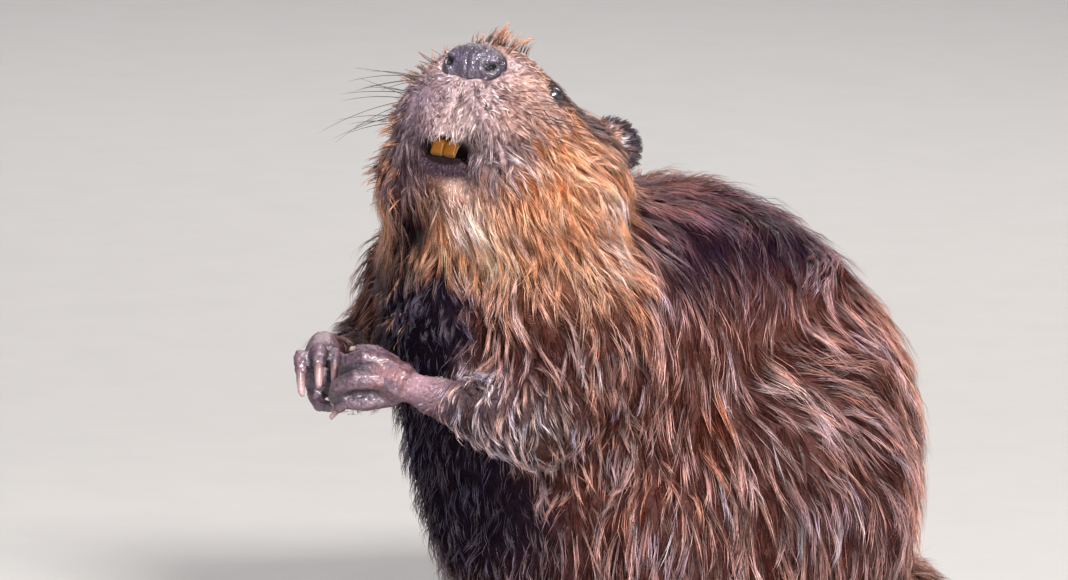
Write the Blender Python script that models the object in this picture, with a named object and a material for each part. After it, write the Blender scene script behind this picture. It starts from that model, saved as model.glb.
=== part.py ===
"""A North American beaver, life size, sitting up on its haunches with its forepaws clasped and its nose raised.

Metres, +Z up.  The animal faces -Y, its left side is +X, and it rests on the floor at z = 0.
Sizes below are in millimetres, because that is how an animal is measured; every mesh is made in metres.
The body is modelled whole, as overlapping lofts and masses fused into one skin, and is then parted with thin cuts.
The outline is that of the coat: the fur's tips reach these surfaces.
"""

import math

import bmesh
import bpy
import numpy as np
from mathutils import Euler, Matrix, Vector

MM = 0.001
GAP = 0.3  # between two solids that meet

# Driving dimensions, in millimetres
NOSE = Vector((74, -156, 375))  # middle of the nose pad
CLASP = Vector((18, -212, 186))  # where the hands meet
HEAD_TURN, HEAD_LIFT, HEAD_TILT = 33, 39, 4.5  # degrees: to its left, nose up, left side down
EYE_AT, EYE_RADIUS = (-36.5, 36, 3.5), 6.2  # forward, left and up from the nose
EYE_FACING = Vector((0.45, 0.81, 0.38))  # the way the eye looks out, likewise
EAR_AT, EAR_LENGTH, EAR_WIDTH, EAR_WALL = (-105, 38, 9), 25, 31, 2.4
TOOTH_WIDTH, TOOTH_DEPTH, TOOTH_TIP = 8.2, 4.6, (-11, 0, -58)
TAIL_ROOT_Y, TAIL_LENGTH, TAIL_WIDTH, TAIL_DEPTH = 196, 250, 122, 13
HIND_FOOT_LENGTH = 160

BODY_VOXEL, BODY_SMOOTHING = 3.6, 14
PAW_VOXEL, PAW_SMOOTHING = 1.3, 4
BODY_TRIANGLES, HAND_TRIANGLES, FOOT_TRIANGLES, NOSE_TRIANGLES = 2300, 330, 220, 110

COLOURS = {  # base colour, roughness
    "fur": ((0.16, 0.085, 0.05), 0.6),
    "golden_fur": ((0.36, 0.19, 0.09), 0.6),
    "bare_skin": ((0.09, 0.06, 0.055), 0.5),
    "nose_skin": ((0.05, 0.045, 0.06), 0.4),
    "scaly_skin": ((0.06, 0.05, 0.05), 0.55),
    "enamel": ((0.7, 0.33, 0.04), 0.25),
    "claw_horn": ((0.3, 0.2, 0.16), 0.4),
    "eye": ((0.012, 0.01, 0.012), 0.06),
}


# ---------------------------------------------------------------- tools


def clear_scene():
    for obj in list(bpy.data.objects):
        bpy.data.objects.remove(obj, do_unlink=True)


def material(name):
    made = bpy.data.materials.get(name)
    if made is None:
        made = bpy.data.materials.new(name)
        made.use_nodes = True
        shader = made.node_tree.nodes["Principled BSDF"]
        colour, roughness = COLOURS[name]
        shader.inputs["Base Color"].default_value = (*colour, 1)
        shader.inputs["Roughness"].default_value = roughness
        shader.inputs["Metallic"].default_value = 0
    return made


def new_object(name, points, faces):
    """An object from points in millimetres, with its faces turned outwards."""
    mesh = bpy.data.meshes.new(name)
    mesh.from_pydata([Vector(p) * MM for p in points], [], faces)
    shell = bmesh.new()
    shell.from_mesh(mesh)
    bmesh.ops.recalc_face_normals(shell, faces=shell.faces)
    shell.to_mesh(mesh)
    shell.free()
    obj = bpy.data.objects.new(name, mesh)
    bpy.context.scene.collection.objects.link(obj)
    return obj


def loft(name, stations, sides=28):
    """A closed skin through cross-sections, each (centre, side, up, down, squareness).

    side, up and down are vectors from the centre to the section's edge.  A squareness of 2 is an ellipse; a pair
    gives it for the upper and the lower half.
    """
    points, faces = [], []
    for centre, side, up, down, squareness in stations:
        for i in range(sides):
            turn = 2 * math.pi * i / sides
            x, y = math.cos(turn), math.sin(turn)
            power = 2 / (squareness[y < 0] if isinstance(squareness, tuple) else squareness)
            x = math.copysign(abs(x) ** power, x)
            y = math.copysign(abs(y) ** power, y)
            points.append(Vector(centre) + Vector(side) * x + (Vector(up) * y if y > 0 else Vector(down) * -y))
    for ring in range(len(stations) - 1):
        for i in range(sides):
            j = (i + 1) % sides
            a, b = ring * sides, (ring + 1) * sides
            faces.append((a + i, a + j, b + j, b + i))
    faces.append(tuple(reversed(range(sides))))
    faces.append(tuple(range(len(points) - sides, len(points))))
    return new_object(name, points, faces)


def tube(name, path, radii, flatness=1.0, normal=(0, 0, 1), sides=14):
    """A round-ended limb along a path; flatness is its thickness along normal as a share of its width."""
    path = [Vector(p) for p in path]
    stations = []
    for i, (place, radius) in enumerate(zip(path, radii)):
        ahead = (path[min(i + 1, len(path) - 1)] - path[max(i - 1, 0)]).normalized()
        side = ahead.cross(Vector(normal)).normalized()
        up = side.cross(ahead).normalized() * radius * flatness
        stations.append((place, side * radius, up, -up, 2))
        if i in (0, len(path) - 1):  # a domed end in two more rings
            out = -ahead if i == 0 else ahead
            dome = []
            for lift in (40, 72):
                share = math.cos(math.radians(lift))
                shift = out * radius * math.sin(math.radians(lift))
                dome.append((place + shift, side * radius * share, up * share, -up * share, 2))
            stations = dome[::-1] + stations if i == 0 else stations + dome
    return loft(name, stations, sides)


def mass(name, centre, radii, turn=(0, 0, 0), detail=20):
    """An ellipsoid with its half-axes along x, y and z, then turned by Euler angles in degrees."""
    mesh = bpy.data.meshes.new(name)
    shell = bmesh.new()
    bmesh.ops.create_uvsphere(shell, u_segments=detail, v_segments=detail // 2, radius=MM)
    turned = Euler([math.radians(a) for a in turn]).to_matrix().to_4x4()
    place = Matrix.Translation(Vector(centre) * MM) @ turned @ Matrix.Diagonal((*radii, 1))
    bmesh.ops.transform(shell, matrix=place, verts=shell.verts)
    shell.to_mesh(mesh)
    shell.free()
    obj = bpy.data.objects.new(name, mesh)
    bpy.context.scene.collection.objects.link(obj)
    return obj


def block(name, centre, half, axes=((1, 0, 0), (0, 1, 0), (0, 0, 1))):
    """A box by its centre and half sizes along three axes."""
    corners = []
    for x in (-1, 1):
        for y in (-1, 1):
            for z in (-1, 1):
                steps = [Vector(a) * h * s for a, h, s in zip(axes, half, (x, y, z))]
                corners.append(Vector(centre) + steps[0] + steps[1] + steps[2])
    faces = [(0, 1, 3, 2), (4, 6, 7, 5), (0, 4, 5, 1), (2, 3, 7, 6), (0, 2, 6, 4), (1, 5, 7, 3)]
    return new_object(name, corners, faces)


def applied(obj):
    """The object's mesh as its modifiers make it."""
    graph = bpy.context.evaluated_depsgraph_get()
    made = bpy.data.meshes.new_from_object(obj.evaluated_get(graph), depsgraph=graph)
    obj.modifiers.clear()
    obj.data = made
    return obj


def joined(name, objects):
    """One object holding the meshes of several, which are removed."""
    shell = bmesh.new()
    for obj in objects:
        obj.data.transform(obj.matrix_world)
        shell.from_mesh(obj.data)
        bpy.data.objects.remove(obj, do_unlink=True)
    mesh = bpy.data.meshes.new(name)
    shell.to_mesh(mesh)
    shell.free()
    obj = bpy.data.objects.new(name, mesh)
    bpy.context.scene.collection.objects.link(obj)
    return obj


def fused(name, objects, voxel, smoothing, triangles, detail=None):
    """Overlapping shells as one smooth skin of about that many triangles.

    detail gives, for a point, how firmly its triangles are kept when the rest are merged.
    """
    obj = joined(name, objects)
    remesh = obj.modifiers.new("remesh", "REMESH")
    remesh.mode = "VOXEL"
    remesh.voxel_size = voxel * MM
    smooth = obj.modifiers.new("smooth", "SMOOTH")
    smooth.factor = 0.5
    smooth.iterations = smoothing
    applied(obj)
    faces = sum(len(p.vertices) - 2 for p in obj.data.polygons)
    decimate = obj.modifiers.new("decimate", "DECIMATE")
    decimate.ratio = min(1, triangles / faces)
    decimate.use_collapse_triangulate = True
    if detail:
        group = obj.vertex_groups.new(name="merged")
        for vertex in obj.data.vertices:
            group.add([vertex.index], 1 - detail(vertex.co / MM), "REPLACE")
        decimate.vertex_group = "merged"
        decimate.vertex_group_factor = 1
    applied(obj)
    obj.vertex_groups.clear()
    return obj


def grown(obj, by):
    """A copy with every surface moved outwards, for cutting a socket."""
    copy = obj.copy()
    copy.data = obj.data.copy()
    bpy.context.scene.collection.objects.link(copy)
    shell = bmesh.new()
    shell.from_mesh(copy.data)
    shell.normal_update()
    for vertex, shift in [(v, v.normal * by * MM * v.calc_shell_factor()) for v in shell.verts]:
        vertex.co += shift
    shell.to_mesh(copy.data)
    shell.free()
    return copy


def boolean(obj, other, operation):
    modifier = obj.modifiers.new(operation, "BOOLEAN")
    modifier.operation = operation
    modifier.solver = "EXACT"
    modifier.object = other
    bpy.context.view_layer.update()
    return applied(obj)


def cut_away(obj, cutter):
    """obj without cutter, which is removed."""
    boolean(obj, cutter, "DIFFERENCE")
    bpy.data.objects.remove(cutter, do_unlink=True)
    return obj


def parted(rest, region, name):
    """Takes what of rest lies in region as a new object, and leaves the rest with a thin cut round it."""
    part = rest.copy()
    part.data = rest.data.copy()
    part.name = name
    bpy.context.scene.collection.objects.link(part)
    boolean(part, region, "INTERSECT")
    cut_away(rest, grown(region, GAP))
    bpy.data.objects.remove(region, do_unlink=True)
    return part


def largest(obj):
    """Keeps the object's largest loose piece: crumbs come off where a cut just grazes the skin."""
    shell = bmesh.new()
    shell.from_mesh(obj.data)
    left, pieces = set(shell.verts), []
    while left:
        piece, edge = set(), [left.pop()]
        while edge:
            vertex = edge.pop()
            piece.add(vertex)
            for link in vertex.link_edges:
                other = link.other_vert(vertex)
                if other in left:
                    left.remove(other)
                    edge.append(other)
        pieces.append(piece)
    pieces.sort(key=len)
    bmesh.ops.delete(shell, geom=[v for piece in pieces[:-1] for v in piece], context="VERTS")
    shell.to_mesh(obj.data)
    shell.free()
    return obj


# ---------------------------------------------------------------- the head's own frame

HEAD_AXES = Matrix.Rotation(math.radians(HEAD_TURN), 3, "Z") @ Matrix.Rotation(
    math.radians(-HEAD_LIFT), 3, "X"
) @ Matrix.Rotation(math.radians(HEAD_TILT), 3, "Y")
FORWARD, LEFT, UP = HEAD_AXES @ Vector((0, -1, 0)), HEAD_AXES @ Vector((1, 0, 0)), HEAD_AXES @ Vector((0, 0, 1))
HEAD_EULER = [math.degrees(a) for a in HEAD_AXES.to_euler()]


def in_head(forward, left, up):
    """A point of the head, in millimetres from the nose."""
    return NOSE + FORWARD * forward + LEFT * left + UP * up


def head_mass(name, place, radii, detail=20):
    """An ellipsoid set in the head: radii are across, along and in height."""
    return mass(name, in_head(*place), radii, HEAD_EULER, detail)


# ---------------------------------------------------------------- body masses


def trunk_mass():
    # height, front and back on the y axis, half width, squareness
    slices = (
        (-7, -8, 116, 46, 2.2),
        (4, -58, 138, 84, 2.2),
        (26, -100, 151, 112, 2.3),
        (60, -126, 162, 126, 2.3),
        (100, -142, 170, 130, 2.2),
        (140, -154, 171, 126, 2.2),
        (180, -164, 163, 119, 2.2),
        (212, -170, 145, 109, 2.2),
        (240, -168, 120, 97, 2.2),
        (266, -150, 90, 81, 2.1),
        (283.5, -110, 54, 57, 2),
        (291.5, -66, 20, 26, 2),
    )
    stations = []
    for height, front, back, half_width, squareness in slices:
        reach = Vector((0, (back - front) / 2, 0))
        centre = Vector((0, (front + back) / 2, height))
        stations.append((centre, (half_width, 0, 0), reach, -reach, squareness))
    return loft("trunk_mass", stations, 40)


def neck_mass():
    # centre, radius across, radius along the throat-to-nape line
    path = (
        (Vector((0, -62, 190)), 104, 92),
        (Vector((10, -82, 226)), 100, 92),
        (Vector((22, -98, 258)), 88, 84),
        (in_head(-108, 0, -36), 76, 64),
    )
    stations = []
    for i, (place, across, along) in enumerate(path):
        ahead = (path[min(i + 1, 3)][0] - path[max(i - 1, 0)][0]).normalized()
        side = LEFT.lerp(Vector((1, 0, 0)), 1 - i / 3)
        side = (side - ahead * side.dot(ahead)).normalized()
        up = side.cross(ahead).normalized() * along
        stations.append((place, side * across, up, -up, 2.1))
    return loft("neck_mass", stations, 32)


def head_masses():
    # behind the nose, half width, top, level of the widest line, bottom, squareness above and below that line
    sections = (
        (0, 12, 8, -2, -14, 2, 2),
        (-5, 25, 15, -6, -38, 2, 2.2),
        (-11, 39, 20, -14, -58, 2, 2.4),
        (-20, 49, 24, -24, -70, 1.9, 2.4),
        (-38, 57, 28, -30, -77, 1.8, 2.4),
        (-60, 66, 31, -36, -81, 1.8, 2.4),
        (-86, 72, 33, -38, -86, 1.9, 2.3),
        (-110, 72, 30, -40, -88, 2, 2.2),
        (-132, 62, 16, -40, -82, 2, 2),
        (-146, 40, -4, -42, -70, 2, 2),
    )
    stations = []
    for along, half_width, top, middle, bottom, upper, lower in sections:
        centre = in_head(along, 0, middle)
        ring = (LEFT * half_width, UP * (top - middle), UP * (bottom - middle), (upper, lower))
        stations.append((centre, *ring))
    masses = [loft("skull_mass", stations, 36)]
    for side in (1, -1):
        masses.append(head_mass("whisker_pad", (-18, 23 * side, -30), (22, 22, 22)))
        masses.append(head_mass("cheek", (-76, 42 * side, -46), (34, 46, 35)))
        masses.append(head_mass("brow", (-56, 20 * side, 18), (12, 19, 8)))
    return masses


def arm_masses(side, elbow, wrist):
    shoulder = Vector((88 * side, -92, 208))
    middle = elbow.lerp(wrist, 0.42)
    return [
        mass("shoulder", shoulder, (44, 58, 66), (12, 0, 0)),
        tube("upper_arm", (shoulder, elbow), (44, 31)),
        tube("forearm", (elbow, middle, wrist), (29, 18.5, 11.5)),
    ]


def leg_masses(side):
    return [
        mass("thigh", (94 * side, 30, 104), (52, 98, 92), (10, 0, -4 * side)),
        mass("knee", (112 * side, -44, 84), (36, 46, 62), (0, 0, 6 * side)),
        tube("shin", ((116 * side, -30, 60), (116 * side, 30, 34), (114 * side, 54, 24)), (32, 30, 22)),
    ]


def tail_root_mass():
    path = ((0, 96, 62), (0, 146, 38), (0, 184, 20), (0, 210, 11))
    return tube("tail_root", path, (58, 47, 38, 34), flatness=0.62)


# ---------------------------------------------------------------- paws, tail, ears


def paw_frame(ahead, back_of_paw):
    """Three axes: along the paw, out of its back, and across it."""
    along = Vector(ahead).normalized()
    back = (Vector(back_of_paw) - along * along.dot(Vector(back_of_paw))).normalized()
    return along, back, along.cross(back)


def digit(name, start, along, back, lengths, radii, bends):
    """A finger or toe that bends away from the paw's back at each joint.  Returns it and its last direction."""
    path, heading, below = [Vector(start)], Vector(along), -Vector(back)
    for length, bend in zip(lengths, bends):
        turn = math.radians(bend)
        heading, below = (
            heading * math.cos(turn) + below * math.sin(turn),
            below * math.cos(turn) - heading * math.sin(turn),
        )
        path.append(path[-1] + heading * length)
    return tube(name, path, radii, sides=12, normal=-below), path[-1], heading, below


def claw(name, tip, heading, below, length, radius, curve=22):
    """A curved horn cone that starts inside the digit's tip."""
    stations, place, ahead = [], Vector(tip) - Vector(heading) * radius, Vector(heading)
    steps = 3
    side = ahead.cross(below).normalized()
    for i in range(steps + 1):
        share = 1 - 0.8 * (i / steps) ** 2
        deep = ahead.cross(side).normalized()
        stations.append((place, side * radius * 0.8 * share, deep * radius * share, -deep * radius * share, 2))
        place = place + ahead * (length + radius) / steps
        turn = math.radians(curve / steps)
        ahead = (ahead * math.cos(turn) + Vector(below) * math.sin(turn)).normalized()
    obj = loft(name, stations, 6)
    obj.data.materials.append(material("claw_horn"))
    return obj


# The clasped hands' own frame: across the chest to the animal's left, up, and out towards its left front.
ACROSS, OUT = Vector((0.469, 0.883, 0)), Vector((0.874, -0.465, 0.139))
RISE = OUT.cross(ACROSS)


def clasp(across, rise, out):
    """A point by the clasped hands, in millimetres from where they meet."""
    return CLASP + ACROSS * across + RISE * rise + OUT * out


# Each digit from the first to the fifth: its joints in the hands' frame, its radius and its claw's length.
DIGITS = {
    1: (
        (((31, 9, 3), (19, 16, 2), (9, 17, -1)), 4.6, 6),
        (((29, 6, 12), (13, 12, 13), (3, 9, 7), (1, 2, 2)), 6.3, 9),
        (((27, -1, 14), (8, -1, 17), (-2, -5, 12), (-4, -11, 6)), 6.9, 9),
        (((27, -8, 9), (12, -10, 7), (4, -11, 2), (3, -14, -3)), 5.8, 9),
        (((33, -11, 9), (14, -14.5, 12), (2, -14, 11), (-2, -18, 9)), 5, 10),
    ),
    -1: (
        (((-1, 10, -26), (5, 11, -18), (8, 6, -12)), 4.4, 7),
        (((-4, 12, -24), (-4.5, 15, -12), (-4.5, 7, -8)), 5.3, 12),
        (((-12, 12, -22), (-13.5, 17, -7), (-13.5, 7.5, -2)), 6.2, 17),
        (((-20, 10, -22), (-24, 13, -8), (-24, 2, -4)), 5.8, 16),
        (((-17, -8, -22), (-13, -16, -13), (-6, -17, -8)), 5, 10),
    ),
}
PALMS = {
    1: (((38, -6, 10), 11.5), ((33, -2, 12), 12.5), ((27, 0, 11), 12)),
    -1: (((-11.6, 17.4, -55), 11.5), ((-12, 10, -40), 14), ((-12, 2, -26), 14.5)),
}


def hand(side):
    """A forepaw: palm, four curled fingers and the opposed fifth below them, with a claw on each."""
    name = "left" if side > 0 else "right"
    places = [clasp(*place) for place, _ in PALMS[side]]
    radii = [radius for _, radius in PALMS[side]]
    heart = places[-1]
    pieces = [tube("palm", places, radii, 0.84, OUT if side > 0 else ACROSS, 16)]
    claws = []
    for i, (joints, radius, reach) in enumerate(DIGITS[side]):
        path = [clasp(*joint) for joint in joints]
        thinning = (1, 0.96, 0.86, 0.68)[-len(path):]
        pieces.append(tube("digit", path, [radius * share for share in thinning], sides=12, normal=OUT))
        heading = (path[-1] - path[-2]).normalized()
        inwards = heart - path[-1]
        below = (inwards - heading * inwards.dot(heading)).normalized()
        claws.append(claw(f"claw_hand_{name}_{i + 1}", path[-1], heading, below, reach, (0.38, 0.52)[side < 0] * radius))
    paw = fused(f"hand_{name}", pieces, PAW_VOXEL, PAW_SMOOTHING, HAND_TRIANGLES)
    paw.data.materials.append(material("bare_skin"))
    return paw, claws


def foot(side):
    """A hind foot, webbed and flat on the floor, with its five toes spread forwards."""
    name = "left" if side > 0 else "right"
    heel = Vector((113 * side, 58, 9))
    outwards = math.radians(8 * side)
    along = Vector((math.sin(outwards), -math.cos(outwards), 0))
    across = Vector((side, 0, 0))
    across = (across - along * across.dot(along)).normalized()  # towards the outer toe
    ball = heel + along * 78
    lift = Vector((0, 0, 1))
    pieces = [
        tube("sole", (heel, heel + along * 40 + lift * 2.5, ball + lift * 5), (20, 25, 30), 0.5, (0, 0, 1)),
        tube("instep", (heel + lift * 13, ball + lift * 7), (19, 17), 0.7),
    ]
    claws, tips = [], []
    toe_length = HIND_FOOT_LENGTH - 78
    for i in range(5):
        spread = (i - 2) / 2
        start = ball + across * spread * 20 + lift * 0.8
        way = (along + across * spread * 0.34).normalized()
        reach = toe_length * (0.93 - 0.16 * (spread - 0.2) ** 2)
        bends, lengths = (2, 2, 3), (reach * 0.42, reach * 0.3, reach * 0.2)
        toe, tip, last, below = digit("toe", start, way, (0, 0, 1), lengths, (8.2, 7.4, 6.8, 5.6), bends)
        pieces.append(toe)
        tips.append(tip)
        claws.append(claw(f"claw_foot_{name}_{i + 1}", tip, last, below, 13, 3.3, 8))
    web = [ball - across * 24, *[t - along * 9 for t in tips], ball + across * 24]
    upper = [Vector((p.x, p.y, 6.5)) for p in web]
    lower = [Vector((p.x, p.y, 2.5)) for p in web]
    count = len(web)
    walls = [(i, (i + 1) % count, count + (i + 1) % count, count + i) for i in range(count)]
    order = [tuple(range(count)), tuple(range(2 * count - 1, count - 1, -1))]
    pieces.append(new_object("web", upper + lower, walls + order))
    paw = fused(f"foot_{name}", pieces, PAW_VOXEL * 1.25, PAW_SMOOTHING, FOOT_TRIANGLES)
    paw.data.materials.append(material("bare_skin"))
    return paw, claws


def tail_blade():
    """The flat, scaly part of the tail, lying on the floor."""
    half = TAIL_WIDTH / 2
    # along the blade as a share, half width as a share, thickness as a share
    outline = ((0, 0.56, 1.7), (0.12, 0.72, 1.35), (0.28, 0.92, 1.1), (0.48, 1, 1), (0.68, 0.95, 0.9))
    outline += ((0.84, 0.78, 0.78), (0.94, 0.52, 0.62), (0.985, 0.28, 0.45), (1, 0.1, 0.3))
    stations = []
    for share, width, depth in outline:
        thick = TAIL_DEPTH * depth
        centre = Vector((0, TAIL_ROOT_Y + TAIL_LENGTH * share, 2.4))
        stations.append((centre, (half * width, 0, 0), (0, 0, thick - 2.4), (0, 0, -3.2), 2.4))
    obj = cut_away(loft("tail_blade", stations, 14), block("floor", (0, 0, -50), (400, 900, 50)))
    obj.data.materials.append(material("scaly_skin"))
    return obj


def ear(side):
    """A short, round ear: a cupped shell that stands up and outwards and opens forwards."""
    name = "left" if side > 0 else "right"
    outwards = LEFT * side
    root = in_head(EAR_AT[0], EAR_AT[1] * side, EAR_AT[2])
    out = (UP * 0.84 + outwards * 0.52 - FORWARD * 0.245).normalized()
    across = -FORWARD * 0.64 + outwards * 0.54 - UP * 0.52
    across = (across - out * across.dot(out)).normalized()
    hollow = across.cross(out) * side
    rows, columns, sunk = 5, 8, 6
    points, faces = [], []
    for i in range(rows):
        rise = i / (rows - 1)
        width = EAR_WIDTH / 2 * (0.74 + 0.3 * math.sin(math.pi * min(1, 0.2 + 0.5 * rise)))
        for j in range(columns):
            turn = (j / (columns - 1) - 0.5) * math.radians(156)
            arch = (EAR_LENGTH + sunk) * rise * (1 - 0.42 * abs(math.sin(turn)) ** 2.6 * rise) - sunk
            sweep = across * width * math.sin(turn)
            cup = -hollow * width * 0.62 * (math.cos(turn) - 0.3)
            points.append(root + out * arch + sweep + cup)
    for i in range(rows - 1):
        for j in range(columns - 1):
            a = i * columns + j
            faces.append((a, a + 1, a + columns + 1, a + columns))
    obj = new_object(f"ear_{name}", points, faces)
    wall = obj.modifiers.new("wall", "SOLIDIFY")
    wall.thickness = EAR_WALL * MM
    wall.offset = 0
    applied(obj)
    obj.data.materials.append(material("fur"))
    return obj


# ---------------------------------------------------------------- the animal


def set_in(body, piece):
    """Cuts a socket for the piece, a hair's breadth clear of it all round."""
    cut_away(body, grown(piece, GAP))
    return piece


def eye_hollow(side):
    """The shallow dish in the head that the eye looks out of."""
    middle = Vector(EYE_AT) + EYE_FACING * 12.5
    return head_mass("hollow", (middle.x, middle.y * side, middle.z), (9.5,) * 3, 16)


def eye(side):
    name = "left" if side > 0 else "right"
    ball = head_mass(f"eye_{name}", (EYE_AT[0], EYE_AT[1] * side, EYE_AT[2]), (EYE_RADIUS,) * 3, 12)
    ball.data.materials.append(material("eye"))
    return ball


def incisor(side):
    name = "left" if side > 0 else "right"
    tip = Vector(TOOTH_TIP)
    stations = []
    for rise, back, depth in ((0, 1.2, 0.3), (6, 0, 0.5), (12, 2.6, 0.5), (22, 9, 0.5)):
        place = in_head(tip.x - back, side * (TOOTH_WIDTH / 2 + 0.2), tip.z + rise)
        deep = FORWARD * TOOTH_DEPTH * depth
        stations.append((place, LEFT * TOOTH_WIDTH / 2, deep, -deep, 3.2))
    obj = loft(f"incisor_{name}", stations, 12)
    obj.data.materials.append(material("enamel"))
    return obj


def nose_pad():
    """The bare nose: a broad pad with a slanting nostril at each side."""
    pieces = [head_mass("pad", (-7, 0, 1), (17.5, 12, 13))]
    pieces += [head_mass("wing", (-7, 12 * side, -1), (8, 10.5, 10)) for side in (1, -1)]
    pad = fused("nose_pad", pieces, 1.3, 3, NOSE_TRIANGLES)
    for side in (1, -1):
        cut_away(pad, head_mass("nostril", (3.5, 14 * side, -3), (4.2, 6, 3), 10))
    pad.data.materials.append(material("nose_skin"))
    return pad


def body_regions():
    """The bounds of each part of the fused body, in the order they are taken off, as (name, solid)."""
    x = Vector((1, 0, 0))
    regions = []
    for side, name in ((1, "left"), (-1, "right")):
        elbow, wrist = ELBOWS[side], WRISTS[side]
        path = (elbow.lerp(wrist, 0.44), elbow.lerp(wrist, 0.7), wrist)
        regions.append((f"forearm_{name}", tube("region", path, (31, 27, 24), sides=8)))
    # the jaw lies below the mouth, and the head ahead of a slanting plane behind the cheeks
    regions.append(("lower_jaw", block("region", in_head(-22, 0, -87.5), (62, 38, 30), (LEFT, FORWARD, UP))))
    behind = (FORWARD * 0.944 + UP * 0.328).normalized()
    crown = behind.cross(LEFT).normalized()
    crown = crown if crown.dot(UP) > 0 else -crown
    middle = in_head(-98, 0, -90) + behind * 100 + crown * 121
    regions.append(("head", block("region", middle, (130, 100, 125), (LEFT, behind, crown))))
    for side, name in ((1, "left"), (-1, "right")):
        arm = mass("region", (100 * side, -112, 190), (50, 62, 76), (14, 0, 0), 12)
        regions.append((f"upper_arm_{name}", arm))
    nape = Vector((0, -0.376, 0.927))
    middle = Vector((0, -85, 241)) + nape * 60
    regions.append(("neck", block("region", middle, (150, 160, 60), (x, nape.cross(x), nape))))
    regions.append(("tail_root", block("region", (0, 245, 40), (90, 75, 60))))
    for side, name in ((1, "left"), (-1, "right")):
        regions.append((f"shin_{name}", block("region", (116 * side, -10, 12), (44, 112, 32))))
        thigh = mass("region", (104 * side, 14, 106), (60, 122, 100), (10, 0, -4 * side), 14)
        regions.append((f"thigh_{name}", thigh))
    return regions


ELBOWS = {1: Vector((112, -132, 163)), -1: Vector((-108, -138, 166))}
WRISTS = {side: clasp(*PALMS[side][0][0]) for side in (1, -1)}


def detail_of(point):
    """How firmly triangles are kept: most round the face, least low on the body."""
    away = (point - in_head(-30, 0, -20)).length
    return 0.03 * math.exp(-((away / 70) ** 2))


def whole_body():
    masses = [trunk_mass(), neck_mass(), *head_masses(), tail_root_mass()]
    for side in (1, -1):
        masses += arm_masses(side, ELBOWS[side], WRISTS[side])
        masses += leg_masses(side)
    body = fused("trunk", masses, BODY_VOXEL, BODY_SMOOTHING, BODY_TRIANGLES, detail_of)
    body.data.materials.append(material("fur"))
    return body


def forepaws(body):
    """Both hands, parted from the forearms at the wrist, with their claws let in."""
    made = []
    for side in (1, -1):
        wrist = WRISTS[side]
        paw, claws = hand(side)
        onwards = clasp(*PALMS[side][1][0]) - wrist
        beyond = (onwards.normalized() + (wrist - ELBOWS[side]).normalized()).normalized()
        across = beyond.cross(Vector((0, 0, 1))).normalized()
        axes = (across, across.cross(beyond), beyond)
        cut_away(body, block("wrist", wrist + beyond * 20, (24, 24, 20 + GAP / 2), axes))
        cut_away(paw, block("wrist", wrist - beyond * 30, (40, 40, 30 + GAP / 2), axes))
        for piece in claws:
            set_in(paw, piece)
        made.append((paw, claws))
    (left, left_claws), (right, right_claws) = made
    for piece in (right, *right_claws):
        cut_away(left, grown(piece, GAP))
    return [largest(left), *left_claws, largest(right), *right_claws]


def shifted_to_origin(nodes):
    """Moves the whole animal so that the middle of its box stands on the origin."""
    corners = [v.co for obj in nodes for v in obj.data.vertices]
    low = [min(c[i] for c in corners) for i in range(3)]
    high = [max(c[i] for c in corners) for i in range(3)]
    shift = Matrix.Translation((-(low[0] + high[0]) / 2, -(low[1] + high[1]) / 2, -low[2]))
    for obj in nodes:
        obj.data.transform(shift)


def main():
    clear_scene()
    body = whole_body()
    cut_away(body, head_mass("mouth", (-12, 0, -58.5), (18, 16, 9), 14))
    for side in (1, -1):
        cut_away(body, eye_hollow(side))
    nodes = [set_in(body, piece) for piece in (incisor(1), incisor(-1), nose_pad(), eye(1), eye(-1), ear(1), ear(-1))]
    nodes += forepaws(body)
    for side in (1, -1):
        paw, claws = foot(side)
        cut_away(paw, block("floor", (0, 0, -50), (400, 600, 50)))
        set_in(body, paw)
        nodes += [set_in(paw, piece) for piece in claws] + [paw]
    blade = tail_blade()
    cut_away(body, block("blade", (0, TAIL_ROOT_Y + 50 - GAP, 40), (90, 50, 60)))
    cut_away(body, block("floor", (0, 0, -50), (400, 600, 50)))
    nodes.append(blade)
    for name, region in body_regions():
        nodes.append(largest(parted(body, region, name)))
    nodes.append(largest(body))
    for obj in nodes:
        for polygon in obj.data.polygons:
            polygon.use_smooth = True
    shifted_to_origin(nodes)


main()
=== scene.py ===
import math

import bmesh
import bpy
import numpy as np
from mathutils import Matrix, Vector
from mathutils.bvhtree import BVHTree
from mathutils.kdtree import KDTree


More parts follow.
